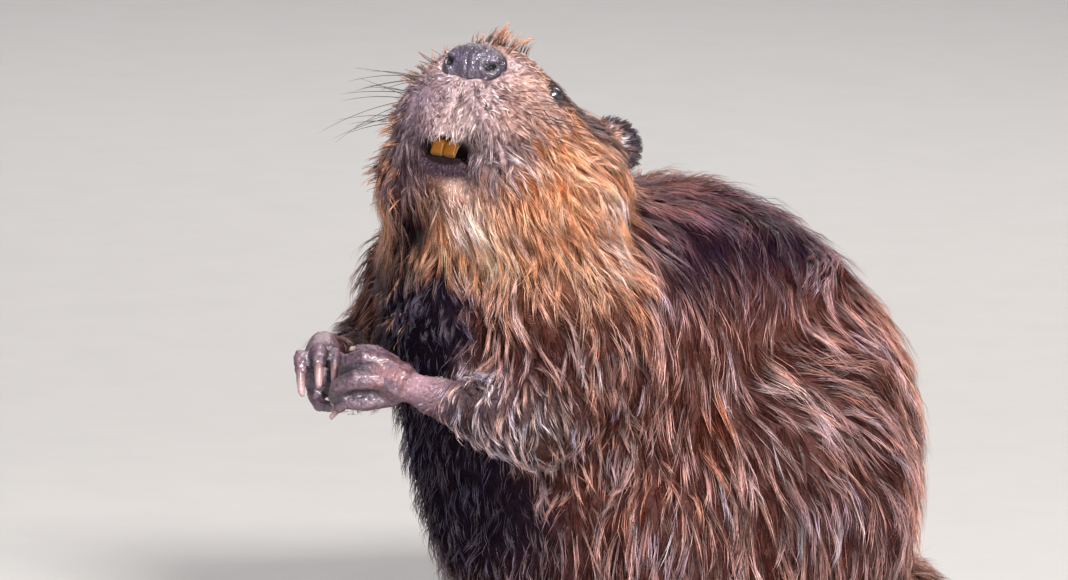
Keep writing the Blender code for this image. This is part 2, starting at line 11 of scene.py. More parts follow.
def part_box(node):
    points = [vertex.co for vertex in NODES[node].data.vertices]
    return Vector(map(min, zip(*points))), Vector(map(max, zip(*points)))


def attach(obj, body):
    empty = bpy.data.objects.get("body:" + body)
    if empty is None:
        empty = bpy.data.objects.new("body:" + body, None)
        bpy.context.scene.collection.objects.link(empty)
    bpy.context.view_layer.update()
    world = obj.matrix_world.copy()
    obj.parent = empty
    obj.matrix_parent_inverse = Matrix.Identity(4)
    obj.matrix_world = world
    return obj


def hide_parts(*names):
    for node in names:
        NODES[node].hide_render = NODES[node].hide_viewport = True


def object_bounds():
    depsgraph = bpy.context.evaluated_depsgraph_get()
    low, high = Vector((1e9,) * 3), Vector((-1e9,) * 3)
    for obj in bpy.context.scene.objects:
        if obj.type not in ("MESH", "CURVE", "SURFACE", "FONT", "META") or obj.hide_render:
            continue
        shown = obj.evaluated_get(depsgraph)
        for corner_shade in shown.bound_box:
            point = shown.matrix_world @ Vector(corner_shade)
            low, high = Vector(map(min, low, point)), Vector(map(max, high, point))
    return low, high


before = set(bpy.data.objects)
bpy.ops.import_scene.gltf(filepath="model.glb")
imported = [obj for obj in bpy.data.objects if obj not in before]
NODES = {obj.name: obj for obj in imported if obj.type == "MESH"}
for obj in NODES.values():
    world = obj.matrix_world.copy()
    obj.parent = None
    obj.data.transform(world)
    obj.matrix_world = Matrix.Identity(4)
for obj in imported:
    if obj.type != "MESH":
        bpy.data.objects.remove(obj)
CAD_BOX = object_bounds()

MM = 0.001
SIDES = {"left": 1, "right": -1}  # each side's sign along L

# The head's own frame: F out through the nose, L to its left, U up through the brow.
F = np.array([0.42326, -0.65177, 0.62932])
L = np.array([0.86298, 0.50155, -0.06097])
U = np.array([-0.27589, 0.56890, 0.77475])
NOSE = np.array([74.0, -261.7, 375.0])  # middle of the nose pad, mm
CLASP = np.array([18.0, -317.7, 186.0])  # where the forepaws meet, mm
EYE_PLACE = np.array([-36.5, 36.0, 3.5])  # forward, out and up from the nose, mm
EYE_OUT = np.array([0.45, 0.81, 0.38])
EYE_R = 6.2
MOUTH_PLACE = np.array([-12.0, 0.0, -58.5])
EAR_PLACE = np.array([-105.0, 38.0, 9.0])

SKIN_VOXEL = 1.8
HEAD = ("head", "lower_jaw")
FLESH = ["trunk", "neck", "head", "lower_jaw", "tail_root"]
for limb in ("upper_arm", "forearm", "thigh", "shin", "hand", "foot"):
    FLESH += [limb + "_left", limb + "_right"]


def unit(v):
    v = np.asarray(v, float)
    return v / (np.linalg.norm(v, axis=-1, keepdims=True) + 1e-9)


def in_head(f, l, u):
    return NOSE + f * F + l * L + u * U


def head_coords(p):
    d = p - NOSE
    return d @ F, d @ L, d @ U


def smooth(x, a, b):
    """0 before a, 1 after b."""
    t = np.clip((x - a) / (b - a), 0, 1)
    return t * t * (3 - 2 * t)


def near(p, centre, inner, outer):
    """1 within inner mm of centre, 0 past outer mm."""
    return 1 - smooth(far(p, centre), inner, outer)


def mix(a, b, w):
    a, b, w = np.asarray(a, float), np.asarray(b, float), np.asarray(w, float)
    if w.ndim == 1 and (a.shape[-1:] or b.shape[-1:]) != w.shape:
        w = w[:, None]
    return a * (1 - w) + b * w


def far(p, centre):
    """How far each point is from centre."""
    return np.linalg.norm(p - np.asarray(centre, float), axis=-1)


def bell(*terms):
    """1 where every term is 0, falling off round it."""
    return np.exp(-sum(t ** 2 for t in terms))


# ---------------------------------------------------------------- meshes
def read(items, key, width, kind=np.float32):
    """One property of every item, as rows of width numbers."""
    values = np.empty(len(items) * width, kind)
    items.foreach_get(key, values)
    return values.reshape(-1, width)


def points_of(ob):
    return read(ob.data.vertices, "co", 3).astype(float) / MM


def normals_of(ob):
    return read(ob.data.vertex_normals, "vector", 3).astype(float)


def edges_of(ob):
    return read(ob.data.edges, "vertices", 2, np.int32)


def triangles_of(me):
    me.calc_loop_triangles()
    return read(me.loop_triangles, "vertices", 3, np.int32)


def set_points(ob, p):
    ob.data.vertices.foreach_set("co", (np.asarray(p) * MM).astype(np.float32).ravel())
    ob.data.update()


def mesh_object(name, p, faces):
    """faces: an (n, 3) or (n, 4) array."""
    me = bpy.data.meshes.new(name)
    faces = np.asarray(faces, np.int32)
    n, k = faces.shape
    me.vertices.add(len(p))
    me.vertices.foreach_set("co", (np.asarray(p) * MM).astype(np.float32).ravel())
    me.loops.add(n * k)
    me.loops.foreach_set("vertex_index", faces.ravel())
    me.polygons.add(n)
    me.polygons.foreach_set("loop_start", np.arange(0, n * k, k, dtype=np.int32))
    me.polygons.foreach_set("loop_total", np.full(n, k, np.int32))
    me.polygons.foreach_set("use_smooth", np.full(n, True))
    me.update(calc_edges=True)
    return linked(name, me)


def linked(name, data):
    """A new object in the scene."""
    ob = bpy.data.objects.new(name, data)
    bpy.context.scene.collection.objects.link(ob)
    return ob


def aimed(name, data, place, way):
    """A camera or lamp at place that looks along way."""
    ob = linked(name, data)
    ob.location = place
    ob.rotation_mode = "QUATERNION"
    ob.rotation_quaternion = way.to_track_quat("-Z", "Y")
    return ob


def applied(ob, kind, **settings):
    """ob with one modifier applied."""
    mod = ob.modifiers.new("m", kind)
    for k, v in settings.items():
        setattr(mod, k, v)
    dg = bpy.context.evaluated_depsgraph_get()
    me = bpy.data.meshes.new_from_object(ob.evaluated_get(dg))
    ob.modifiers.clear()
    ob.data = me
    return ob


def joined(name, nodes, swell=0.0):
    """A copy of these CAD nodes in one mesh, each swollen along its normals."""
    ps, fs, at = [], [], 0
    for n in nodes:
        me = NODES[n].data.copy()
        bm = bmesh.new()
        bm.from_mesh(me)
        bmesh.ops.remove_doubles(bm, verts=bm.verts, dist=1e-6)
        bmesh.ops.triangulate(bm, faces=bm.faces)
        bm.normal_update()
        bm.to_mesh(me)
        bm.free()
        ps.append(read(me.vertices, "co", 3) / MM + swell * read(me.vertex_normals, "vector", 3))
        fs.append(triangles_of(me) + at)
        at += len(ps[-1])
        bpy.data.meshes.remove(me)
    return mesh_object(name, np.concatenate(ps), np.concatenate(fs))


def remeshed(ob, voxel):
    return applied(ob, "REMESH", mode="VOXEL", voxel_size=voxel * MM, use_smooth_shade=True)


def relaxed(values, edges, rounds, weight=None):
    """Averages values over each vertex's neighbours, rounds times."""
    values = np.array(values, float)
    flat = values.ndim == 1
    if flat:
        values = values[:, None]
    n = len(values)
    i = np.concatenate([edges[:, 0], edges[:, 1]])
    j = np.concatenate([edges[:, 1], edges[:, 0]])
    count = np.maximum(np.bincount(i, minlength=n), 1)[:, None]
    w = 0.5 if weight is None else 0.5 * np.asarray(weight)[:, None]
    for _ in range(rounds):
        mean = np.stack([np.bincount(i, values[j, c], n) for c in range(values.shape[1])], 1) / count
        values = values + w * (mean - values)
    return values[:, 0] if flat else values


def attribute(ob, name, values):
    values = np.asarray(values, np.float32)
    if values.ndim == 1:
        a = ob.data.attributes.new(name, "FLOAT", "POINT")
        a.data.foreach_set("value", values)
    else:
        a = ob.data.attributes.new(name, "FLOAT_COLOR", "POINT")
        rgba = np.ones((len(values), 4), np.float32)
        rgba[:, :3] = values
        a.data.foreach_set("color", rgba.ravel())


def wobble(p, size, seed):
    """A soft random value from -1 to 1 for each point, with lumps about size mm across."""
    rng = np.random.default_rng(seed)
    total = np.zeros(len(p))
    for _ in range(7):
        k = unit(rng.normal(size=3)) * 2 * math.pi / (size * rng.uniform(0.7, 1.6))
        total += np.sin(p @ k + rng.uniform(0, 6.28))
    return np.clip(total / 3.2, -1, 1)


# ---------------------------------------------------------------- skin
def within_triangles(count, rng):
    """Random places in triangles, as the weights of their three corners."""
    u, v = rng.random(count), rng.random(count)
    over = u + v > 1
    u[over], v[over] = 1 - u[over], 1 - v[over]
    return np.stack([1 - u - v, u, v], 1)


def region_samples():
    """Places on each flesh node, to tell which node a place of the skin belongs to."""
    rng = np.random.default_rng(5)
    ps, which = [], []
    for k, n in enumerate(FLESH):
        p, t = points_of(NODES[n]), triangles_of(NODES[n].data)
        a, b, c = p[t[:, 0]], p[t[:, 1]], p[t[:, 2]]
        area = np.linalg.norm(np.cross(b - a, c - a), axis=1)
        m = int(area.sum() / 2 / 9) + 50
        i = rng.choice(len(t), m, p=area / area.sum())
        _, u, v = within_triangles(m, rng).T[..., None]
        ps.append(a[i] + u * (b - a)[i] + v * (c - a)[i])
        which.append(np.full(m, k))
    return np.concatenate(ps), np.concatenate(which)


def tree(p):
    kd = KDTree(len(p))
    for i, q in enumerate(p.tolist()):
        kd.insert(q, i)
    kd.balance()
    return kd


def nearest(kd, p):
    find = kd.find
    return np.fromiter((find(q)[1] for q in np.asarray(p).tolist()), np.int64, len(p))


def weights_by_region(p, edges, rounds):
    sp, sw = region_samples()
    lab = sw[nearest(tree(sp), p)]
    hot = np.zeros((len(p), len(FLESH)))
    hot[np.arange(len(p)), lab] = 1
    return relaxed(hot, edges, rounds)


def part_weight(w, *names):
    """How much each place belongs to the parts whose names start with one of these."""
    return w[:, [n.startswith(names) for n in FLESH]].sum(1)


def beside(place, s):
    """A place of the head, on its left where s is 1 and on its right where it is -1."""
    return in_head(place[0], place[1] * s, place[2])


def eye_frame(side):
    s = SIDES[side]
    c = in_head(EYE_PLACE[0] + 0.4, (EYE_PLACE[1] + 0.9) * s, EYE_PLACE[2] - 0.2)
    out = unit(EYE_OUT[0] * F + EYE_OUT[1] * s * L + EYE_OUT[2] * U)
    ahead = unit(F - (F @ out) * out)
    return c, out, ahead, np.cross(out, ahead) * s


# coat depth over each part, mm
DEPTH = dict(trunk=8.0, neck=8.5, head=5.0, lower_jaw=5.0, tail_root=5.0, upper_arm=8.0,
             forearm=1.8, thigh=9.0, shin=5.0, hand=0.1, foot=0.2)


def by_part(w, table):
    """Each place's blend of a table that has one row for each part."""
    return w @ np.array([table[n.replace("_left", "").replace("_right", "")] for n in FLESH], float)


def coat_depth(p, w):
    face = 0.4 + 4.8 * smooth(far(p, NOSE), 20, 85)
    # thinner round the eyes, the ears and the mouth
    for s in SIDES.values():
        face = np.minimum(face, 0.8 + 4.5 * smooth(far(p, beside(EYE_PLACE, s)), 10, 30))
        face = np.minimum(face, 0.6 + 5 * smooth(far(p, beside(EAR_PLACE, s)), 16, 34))
    face = np.minimum(face, 0.8 + 5 * smooth(far(p, in_head(*MOUTH_PLACE)), 20, 42))
    return mix(by_part(w, DEPTH), np.minimum(face, 6.0), part_weight(w, *HEAD))


def finer(ob, chosen):
    """Splits the faces whose vertices are all chosen into four."""
    bm = bmesh.new()
    bm.from_mesh(ob.data)
    bm.verts.ensure_lookup_table()
    faces = [f for f in bm.faces if all(chosen[v.index] for v in f.verts)]
    es = list({e for f in faces for e in f.edges})
    bmesh.ops.subdivide_edges(bm, edges=es, cuts=1, use_grid_fill=True)
    bm.to_mesh(ob.data)
    bm.free()


def make_skin():
    ob = remeshed(joined("skin", FLESH + ["eye_left", "eye_right"], swell=0.35), SKIN_VOXEL)
    p = points_of(ob)
    mouth = in_head(*MOUTH_PLACE)
    # finer round the mouth and the hands, and finer twice at the eyes
    finer(ob, (near(p, mouth, 34, 34.5) > 0.5) | (near(p, CLASP + [8, 8, 0], 46, 47) > 0.5))
    for reach in (20, 13):
        p = points_of(ob)
        finer(ob, np.any([far(p, eye_frame(side)[0]) < reach for side in SIDES], axis=0))
    p, edges = points_of(ob), edges_of(ob)
    w = weights_by_region(p, edges, 4)
    bare = part_weight(w, "hand", "foot")
    away = smooth(far(p, mouth), 18, 34)
    p = relaxed(p, edges, 5)
    p = relaxed(p, edges, 16, (1 - bare) * away)
    set_points(ob, p)
    w = relaxed(w, edges, 26)
    n = unit(relaxed(normals_of(ob), edges, 6))
    depth = relaxed(coat_depth(p, w), edges, 8)
    p = p - n * depth[:, None]
    p = relaxed(p, edges, 3, 1 - bare)
    # soft lumps under the coat, so that the locks don't lie on an even form
    furred = 1 - np.clip(bare + part_weight(w, "forearm", *HEAD), 0, 1)
    p = p + n * (furred * (1.1 * wobble(p, 26, 3) + 0.5 * wobble(p, 11, 4)))[:, None]
    p = lids(p)
    p = mouth_folds(p, n)
    paws = smooth(part_weight(w, "hand"), 0.45, 0.8)
    p = laid_on(p, ["hand_left", "hand_right"], paws, 0.12)
    p = relaxed(p, edges, 2, 0.8 * paws)
    set_points(ob, p)
    p = wrinkles(p, unit(mix(n, normals_of(ob), paws)), w)
    set_points(ob, p)
    return ob, w


def laid_on(p, nodes, weight, above):
    """Draws the weighted points onto the surface of these solids, so that their folds stay crisp."""
    solid = joined("solid", nodes)
    find = BVHTree.FromPolygons(points_of(solid).tolist(), triangles_of(solid.data).tolist()).find_nearest
    p = p.copy()
    for i in np.flatnonzero(weight > 0.01):
        place, normal, _, _ = find(p[i].tolist(), 5.0)
        if place is not None:
            p[i] += weight[i] * (np.array(place) + above * np.array(normal) - p[i])
    bpy.data.objects.remove(solid)
    return p


def lids(p):
    """Sinks the skin behind each eyeball's opening and folds it over the ball's edge as two lids."""
    p = p.copy()
    for side in SIDES:
        c, out, ahead, up = eye_frame(side)
        d = p - c
        r = far(p, c)
        q = d / r[:, None]
        x, y, z = q @ ahead, q @ up, q @ out
        around = (r < 19) & (z > 0.05)
        # the opening is a pointed oval, a little longer in front
        open_x = np.where(x > 0, 0.84, 0.76)
        open_y = np.where(y > 0, 0.66, 0.60) * (1 - 0.35 * np.clip(abs(x) / open_x, 0, 1) ** 3)
        e = np.sqrt((x / open_x) ** 2 + (y / open_y) ** 2)
        lid = EYE_R + 0.15 + 0.75 * smooth(e, 0.98, 1.2) - 0.35 * smooth(e, 1.3, 1.7)
        ball = np.where(e < 1.0, EYE_R - 0.9, lid)
        beyond = smooth(e, 1.35, 2.2)
        target = np.where(e < 1.35, ball, ball * (1 - beyond) + r * beyond)
        fade = 1 - smooth(r, 12.5, 17)
        goal = r + (target - r) * fade
        p[around] = (c + q * goal[:, None])[around]
    return p


def mouth_folds(p, n):
    """The split upper lip, the rolled lower lip and the creases at the mouth's corners."""
    f, l, u = head_coords(p)
    # groove from the nose pad down to the incisors
    line = bell(l / 1.5) * smooth(-u, 14, 22) * (1 - smooth(-u, 40, 50)) * (f > -40)
    p = p - n * (0.9 * line)[:, None]
    # the lower lip rolls up towards the incisors and stands forward
    drop = u + 67.0
    lower = bell(drop / np.where(drop > 0, 5.5, 7.5)) * np.exp(-((l / 17.0) ** 4)) * smooth(f, -36, -24)
    p = p + (9.2 * lower)[:, None] * U + (6.4 * lower)[:, None] * F
    # whisker pads to each side of the groove, and the furrows round the nose
    pads = bell((abs(l) - 15) / 9, (u + 31) / 11) * (f > -30)
    furrow = bell((abs(l) - 27 - 0.35 * (u + 20)) / 2.6) * smooth(-u, 6, 14) * (1 - smooth(-u, 40, 52)) * (f > -30)
    return p + F * (1.6 * pads)[:, None] - n * (1.1 * furrow)[:, None]


def wrinkles(p, n, w):
    """Creases and pads of the bare hands and feet."""
    hand = np.clip(part_weight(w, "hand") * 1.6 - 0.3, 0, 1)
    foot = np.clip(part_weight(w, "foot") * 1.6 - 0.3, 0, 1)
    return p - n * (0.75 * creases(p) * (hand + 0.9 * foot))[:, None]


def creases(p):
    """0 on the pads to 1 in the deepest creases of bare hide."""
    fold, fine = np.abs(wobble(p, 8, 21)), np.abs(wobble(p, 4.2, 22))
    return 0.6 * (1 - smooth(fold, 0, 0.25)) + 0.4 * (1 - smooth(fine, 0, 0.3))


# ---------------------------------------------------------------- markings
GOLD = np.array([0.98, 0.46, 0.25])
PALE = np.array([0.98, 0.74, 0.66])
ROSE = np.array([1.0, 0.79, 0.80])
# bluish grey of the painted shade on the face's far side
SHADE_GREY = np.array([0.20, 0.135, 0.165])
SOOT = np.array([0.022, 0.014, 0.020])
UMBER = np.array([0.060, 0.017, 0.014])
# pale colour painted on some locks as a wet glint
GLINT = np.array([0.90, 0.80, 0.86])
HIDE = np.array([0.046, 0.021, 0.028]) * 0.72
RUST = np.array([0.80, 0.41, 0.37])


def markings(p, w):
    """Under colour and guard-hair colour at each place, from where it lies on the animal."""
    x, y, z = abs(p[:, 0]), p[:, 1], p[:, 2]
    f, l, u = head_coords(p)
    al = abs(l)
    head, neck, arm = part_weight(w, *HEAD), part_weight(w, "neck"), part_weight(w, "upper_arm")
    under, guard = UMBER * np.ones((len(p), 1)), RUST * np.ones((len(p), 1))
    lump = wobble(p, 34, 31)

    def lay(u_col, g_col, amount):
        nonlocal under, guard
        a = np.clip(amount, 0, 1)[:, None]
        under = under * (1 - a) + np.asarray(u_col) * a
        guard = guard * (1 - a) + np.asarray(g_col) * a

    def patch(u_col, g_col, gain, place, radii, share=1.0, across=al, region=head):
        """Lays colours round a place of the head: forward, across and up from the nose, and the radii along these."""
        spot = bell((f - place[0]) / radii[0], (across - place[1]) / radii[1], (u - place[2]) / radii[2])
        lay(u_col, g_col, region * np.clip(gain * spot, 0, 1) * share)

    # back: dark and purplish, with a rustier crest
    lay([0.016, 0.007, 0.014], [0.22, 0.092, 0.125], smooth(z, 216, 257) * smooth(y, -182, -135) * 0.97)
    crest = smooth(z, 276, 287) * smooth(y, -170, -130) * (1 - smooth(y, -40, 10))
    lay([0.040, 0.012, 0.010], [0.34, 0.12, 0.085], crest * 0.8)
    # haunches: warmer, rustier behind
    lay(UMBER * 0.85, [0.76, 0.42, 0.40], part_weight(w, "thigh", "shin") * (0.8 + 0.2 * lump))
    lay(UMBER, [0.66, 0.31, 0.18], smooth(y, -10, 50) * 0.6)
    # painted shade: darker in the hollow below the shoulder and in the fold of the flank
    shaded_hollows = bell((y + 225) / 30, (z - 238) / 26) + bell((y + 90) / 26, (z - 182) / 16)
    lay(UMBER * 0.6, [0.36, 0.19, 0.175], shaded_hollows * (1 - head) * smooth(x, 40, 70) * 0.4)
    # chest and belly: sooty and bluish, partly the coat's own dark colour and partly painted shade under the head
    front = np.clip(part_weight(w, "trunk", "neck") * smooth(-y, 170, 235) * (1 - smooth(z, 255, 280)), 0, 1)
    lay([0.013, 0.008, 0.015], [0.075, 0.052, 0.100], front)
    lay(UMBER * 0.7, [0.34, 0.19, 0.16], (1 - smooth(z, 30, 90)) * 0.6)
    # upper arms, with pale lilac sleeves over the elbows, partly the hair's own colour and partly a painted wet sheen
    lay(UMBER * 0.8, [0.52, 0.29, 0.265], arm * 0.9)
    lay([0.040, 0.020, 0.020], [0.66, 0.49, 0.51], arm * (1 - smooth(z, 178, 205)) * smooth(-y, 205, 240) * 0.85)
    lay([0.22, 0.13, 0.155], [0.56, 0.39, 0.455], part_weight(w, "forearm"))
    # the near forearm paler towards the elbow, partly its hair's colour and partly a painted wet sheen
    lay([0.050, 0.028, 0.034], [0.78, 0.60, 0.67], part_weight(w, "forearm_left") * smooth(far(p, CLASP), 50, 82))
    lay(UMBER * 0.6, [0.22, 0.14, 0.14], part_weight(w, "forearm_right") * 0.9)
    # neck: golden guard hairs down the sides onto the shoulders, fewer on the far side
    mane = part_weight(w, "neck", "trunk", "upper_arm") * smooth(x, 40, 66)
    mane = mane * smooth(z, 205, 250) * (1 - smooth(y, -182, -148)) * smooth(y, -290, -232)
    mane = mane * np.where(p[:, 0] < 0, 0.55, 1.0)
    lay([0.105, 0.034, 0.022], [0.86, 0.43, 0.30], mane * (0.85 + 0.15 * lump))
    # head, with golden cheeks
    lay([0.15, 0.060, 0.036], [0.66, 0.37, 0.27], head)
    patch([0.34, 0.115, 0.048], GOLD * 0.88, 1.6, (-56, 58, -42), (34, 34, 36))
    patch([0.25, 0.085, 0.040], [0.80, 0.42, 0.28], 1.4, (-52, 44, -78), (30, 26, 18), 0.9)
    sides = head + neck * smooth(x, 60, 80)
    patch([0.36, 0.155, 0.10], [0.92, 0.57, 0.45], 1.4, (-88, 68, -34), (28, 28, 24), 0.85, region=sides)
    # muzzle: rosy grey, flecked, darker below the nose's corners, with painted shade, darker and bluer, on its far side
    muzzle = head * (smooth(f, -36, -16) * (1 - smooth(al + 0.3 * u, 24, 40)) * smooth(u, -66, -56))
    lay([0.17, 0.108, 0.122], ROSE, muzzle * 0.97)
    fleck = smooth(wobble(p, 9, 36) + 0.8 * wobble(p, 4.2, 37), 0.0, 0.7)
    lay([0.045, 0.025, 0.032], [0.33, 0.205, 0.23], muzzle * fleck * 0.85)
    patch([0.13, 0.070, 0.075], [0.50, 0.31, 0.30], 1.5, (-12, 34, -20), (14, 10, 14), 0.6)
    # painted shade: the muzzle's far side darker and bluer
    far_side_shade = head * smooth(-l, 0, 18) * smooth(f, -50, -20) * smooth(u, -75, -55) * (1 - smooth(u, -22, -6))
    lay(SHADE_GREY * 0.5, [0.27, 0.190, 0.250], far_side_shade * 0.85)
    # painted shade with darker wet fur: the far side of the jaw
    patch(SHADE_GREY * 0.5, [0.40, 0.26, 0.26], 1.3, (-34, -48, -62), (30, 22, 18), 0.7, l)
    patch([0.38, 0.21, 0.18], [0.80, 0.55, 0.48], 1.5, (-22, 38, -7), (15, 15, 13))
    patch([0.45, 0.32, 0.32], PALE, 1.3, (-6, 7, -42), (30, 9, 10), 0.8, l)
    # crown, the dark stripes before and behind the eye, and the ears' surroundings
    lay([0.085, 0.045, 0.038], [0.42, 0.26, 0.22], head * smooth(u, 8, 20) * (1 - smooth(f, -44, -20)) * 0.85)
    lay([0.16, 0.085, 0.07], [0.58, 0.36, 0.29], head * smooth(u, 4, 14) * smooth(f, -44, -20) * 0.7)
    patch(SOOT * 1.3, [0.15, 0.095, 0.095], 1.8, (-66, 41, 11), (24, 9, 8), 0.93)
    patch(SOOT * 1.3, [0.14, 0.09, 0.09], 1.6, (-42, 34, 14), (11, 8, 6), 0.9)
    ears = sum(near(p, beside((-112, 40, 16), s), 12, 28) for s in SIDES.values())
    lay(SOOT * 1.8, [0.24, 0.16, 0.15], np.clip(ears, 0, 1) * 0.45)
    patch([0.16, 0.085, 0.075], [0.62, 0.37, 0.32], 1.5, (-6, 38, -24), (15, 10, 15), 0.75, l)
    # throat: sooty on the right of a slanting edge, partly the fur's own dark colour and partly painted shade under the
    # jaw, with the beard on its left
    edge = l - 9 - 0.75 * (f + 20)
    throat = (head + neck) * smooth(-edge, -6, 4) * (1 - smooth(-l, 40, 66) * smooth(f, -84, -62)) * (1 - smooth(u, -78, -67))
    lay(SOOT, [0.090, 0.050, 0.054], throat * 0.93)
    patch([0.24, 0.10, 0.055], [0.66, 0.35, 0.22], 1.5, (-66, -60, -56), (26, 14, 18), 0.6, l)
    # partly painted shade, partly darker wet fur: the far side under the jaw
    patch([0.10, 0.06, 0.07], [0.40, 0.25, 0.29], 1.6, (-33, -40, -62), (13, 13, 10), 0.85, l)
    patch(SOOT * 0.6, [0.050, 0.028, 0.034], 1.9, (-64, -33, -80), (22, 22, 12), 0.96, l, head + neck)
    beard = smooth(edge, -5, 4) * (1 - smooth(l, 22, 36)) * smooth(-f, 16, 24) * (1 - smooth(-f, 74, 92)) * smooth(-u, 62, 69)
    lay([0.62, 0.28, 0.18], [1.0, 0.60, 0.40], head * beard)
    patch([0.75, 0.45, 0.37], [1.0, 0.77, 0.66], 2.2, (-31, 11, -73), (15, 10, 9), 1.0, l)
    # lower lip, the fringe that hangs at the mouth's corner, and painted shade in the mouth's corners
    under_lip = bell((l + 1) / 22, (u + 60) / 6.5) * smooth(f, -38, -26)
    lay([0.016, 0.009, 0.014], [0.21, 0.130, 0.175], head * np.clip(under_lip * 2.2, 0, 1))
    fringe = bell((l - 16) / 10, (u + 50) / 7) * smooth(f, -36, -22)
    lay([0.03, 0.018, 0.022], [0.20, 0.13, 0.135], head * np.clip(fringe * 1.5, 0, 1) * 0.85)
    # painted shade: the mouth's corners darker
    corner_shade = bell((al - 18) / 5.5, (u + 58) / 9) * smooth(f, -40, -26)
    lay([0.030, 0.018, 0.022], [0.13, 0.085, 0.095], head * np.clip(corner_shade * 1.4, 0, 1) * 0.9)
    return np.clip(under, 0, 1), np.clip(guard, 0, 1)


def skin_colour(p, n, w, under, guard, ridge):
    """ridge: from hollow to raised, on a scale of -1.8 to 1.8."""
    f, l, u = head_coords(p)
    from_clasp = far(p, CLASP)
    hand, foot = part_weight(w, "hand"), part_weight(w, "foot")
    c = mix(under * 0.5 + guard * 0.04, under * 0.8 + guard * 0.2, part_weight(w, *HEAD) * smooth(f, -40, -10))
    # hands: dark hide with painted shade in the creases and where the paws meet, painted sheen on the knuckles and
    # other raised places, reddened at the wrist
    hide = HIDE * np.exp(0.25 * wobble(p, 9, 41) - 0.9 * creases(p) + 0.6 * ridge)[:, None]
    # painted highlight: paler on the highest ridges
    hide = mix(hide, [0.100, 0.058, 0.070], 0.5 * smooth(ridge, 0.7, 1.8))
    # painted shade: darker close to where the paws meet
    hide = hide * (0.5 + 0.65 * smooth(from_clasp, 12, 36))[:, None]
    hide = mix([0.20, 0.115, 0.135], hide, smooth(hand, 0.35, 0.9))
    rosy = near(p, CLASP + [30, 16, 3], 4, 17) * smooth(wobble(p, 10, 42), -0.6, 0.5)
    hide = mix(hide, [0.125, 0.036, 0.030], 0.8 * rosy)
    # painted light and shade: the wrist's skin lighter on top and darker beneath
    painted_top_light = 0.5 + 0.65 * smooth(n[:, 2], -0.7, 0.6)
    wrist = part_weight(w, "forearm_left") * 0.9 * (1 - smooth(from_clasp, 52, 80))
    c = mix(c, np.array([0.24, 0.15, 0.18]) * painted_top_light[:, None], wrist)
    c = mix(c, hide, np.clip(hand * 1.2 - 0.1, 0, 1))
    sole = np.array([0.060, 0.046, 0.048]) * (1 + 0.2 * wobble(p, 12, 43))[:, None]
    c = mix(c, sole, np.clip(foot * 1.2 - 0.1, 0, 1))
    # painted shade: the open mouth near black inside
    cave = ((f + 12) / 15) ** 2 + (l / 17) ** 2 + ((u + 54.5) / 7.5) ** 2
    c = mix(c, [0.016, 0.009, 0.010], 1 - smooth(cave, 0.85, 1.25))
    for side in SIDES:
        rim = near(p, eye_frame(side)[0], EYE_R + 0.7, EYE_R + 3.0)
        c = mix(c, [0.035, 0.022, 0.022], rim)
    return c


# ---------------------------------------------------------------- lie of the coat
# place on the left side (mm) and the way the hair runs there
LIE = [
    (20, -150, 290, 0.15, 0.95, -0.05),  # nape
    (29, -115, 290, 0.60, 0.75, -0.20),
    (63, -100, 276, 0.65, 0.50, -0.55),  # withers
    (15, -70, 288, 0.15, 0.97, -0.15),  # crest of the back
    (30, -20, 262, 0.45, 0.40, -0.60),
    (71, -55, 256, 0.70, -0.30, -0.65),  # back, running down to the flank
    (83, -45, 237, 0.55, -0.65, -0.50),
    (57, -11, 241, 0.75, -0.60, -0.15),
    (94, -100, 241, 0.55, 0.05, -0.85),
    (86, -128, 257, 0.50, 0.40, -0.80),
    (78, -140, 268, 0.45, 0.52, -0.72),  # side of the neck
    (107, -143, 214, 0.35, 0.0, -0.95),
    (60, -215, 262, 0.40, 0.45, -0.80),
    (103, -82, 218, 0.45, -0.50, -0.75),  # fold of the flank
    (110, -66, 197, 0.0, 0.95, -0.25),  # haunch, out from the fold
    (107, -38, 189, -0.10, 0.95, -0.25),
    (93, -17, 201, -0.15, 0.85, -0.50),
    (124, -83, 177, 0.35, 0.75, -0.50),
    (128, -49, 169, 0.25, 0.80, -0.50),
    (55, 16, 217, 0.40, 0.50, -0.75),
    (78, 17, 188, 0.20, 0.55, -0.80),
    (137, -90, 149, 0.30, 0.40, -0.85),
    (139, -42, 141, 0.20, 0.55, -0.80),
    (118, -129, 179, 0.15, -0.30, -0.95),
    (133, -117, 139, 0.20, 0.10, -0.95),  # knee
    (118, -175, 135, 0.10, -0.20, -0.95),
    (144, -51, 89, 0.10, 0.05, -0.99),
    (110, -110, 60, 0.0, -0.3, -0.95),
    (128, -180, 215, 0.20, 0.28, -0.94),  # shoulder
    (107, -245, 220, 0.45, 0.60, -0.66),
    (132, -215, 195, 0.20, 0.15, -0.97),
    (132, -250, 172, 0.25, 0.15, -0.95),  # elbow
    (108, -268, 178, 0.40, 0.20, -0.90),
    (75, -283, 192, 0.30, 0.15, -0.90),  # sleeve
    (72, -296, 176, 0.15, 0.25, -0.95),
    (10, -280, 240, 0.05, 0.0, -1.0),  # chest
    (60, -262, 235, 0.25, 0.10, -0.96),
    (30, -250, 150, 0.10, 0.0, -1.0),  # belly
    (0, -200, 60, 0.0, 0.2, -0.98),
    (60, 50, 190, 0.20, 0.75, -0.63),  # rump
    (0, 60, 215, 0.0, 0.88, -0.48),
    (90, 60, 100, 0.25, 0.55, -0.80),
    (0, 100, 90, 0.0, 0.90, -0.43),
    (30, 130, 40, 0.05, 0.97, -0.2),
]


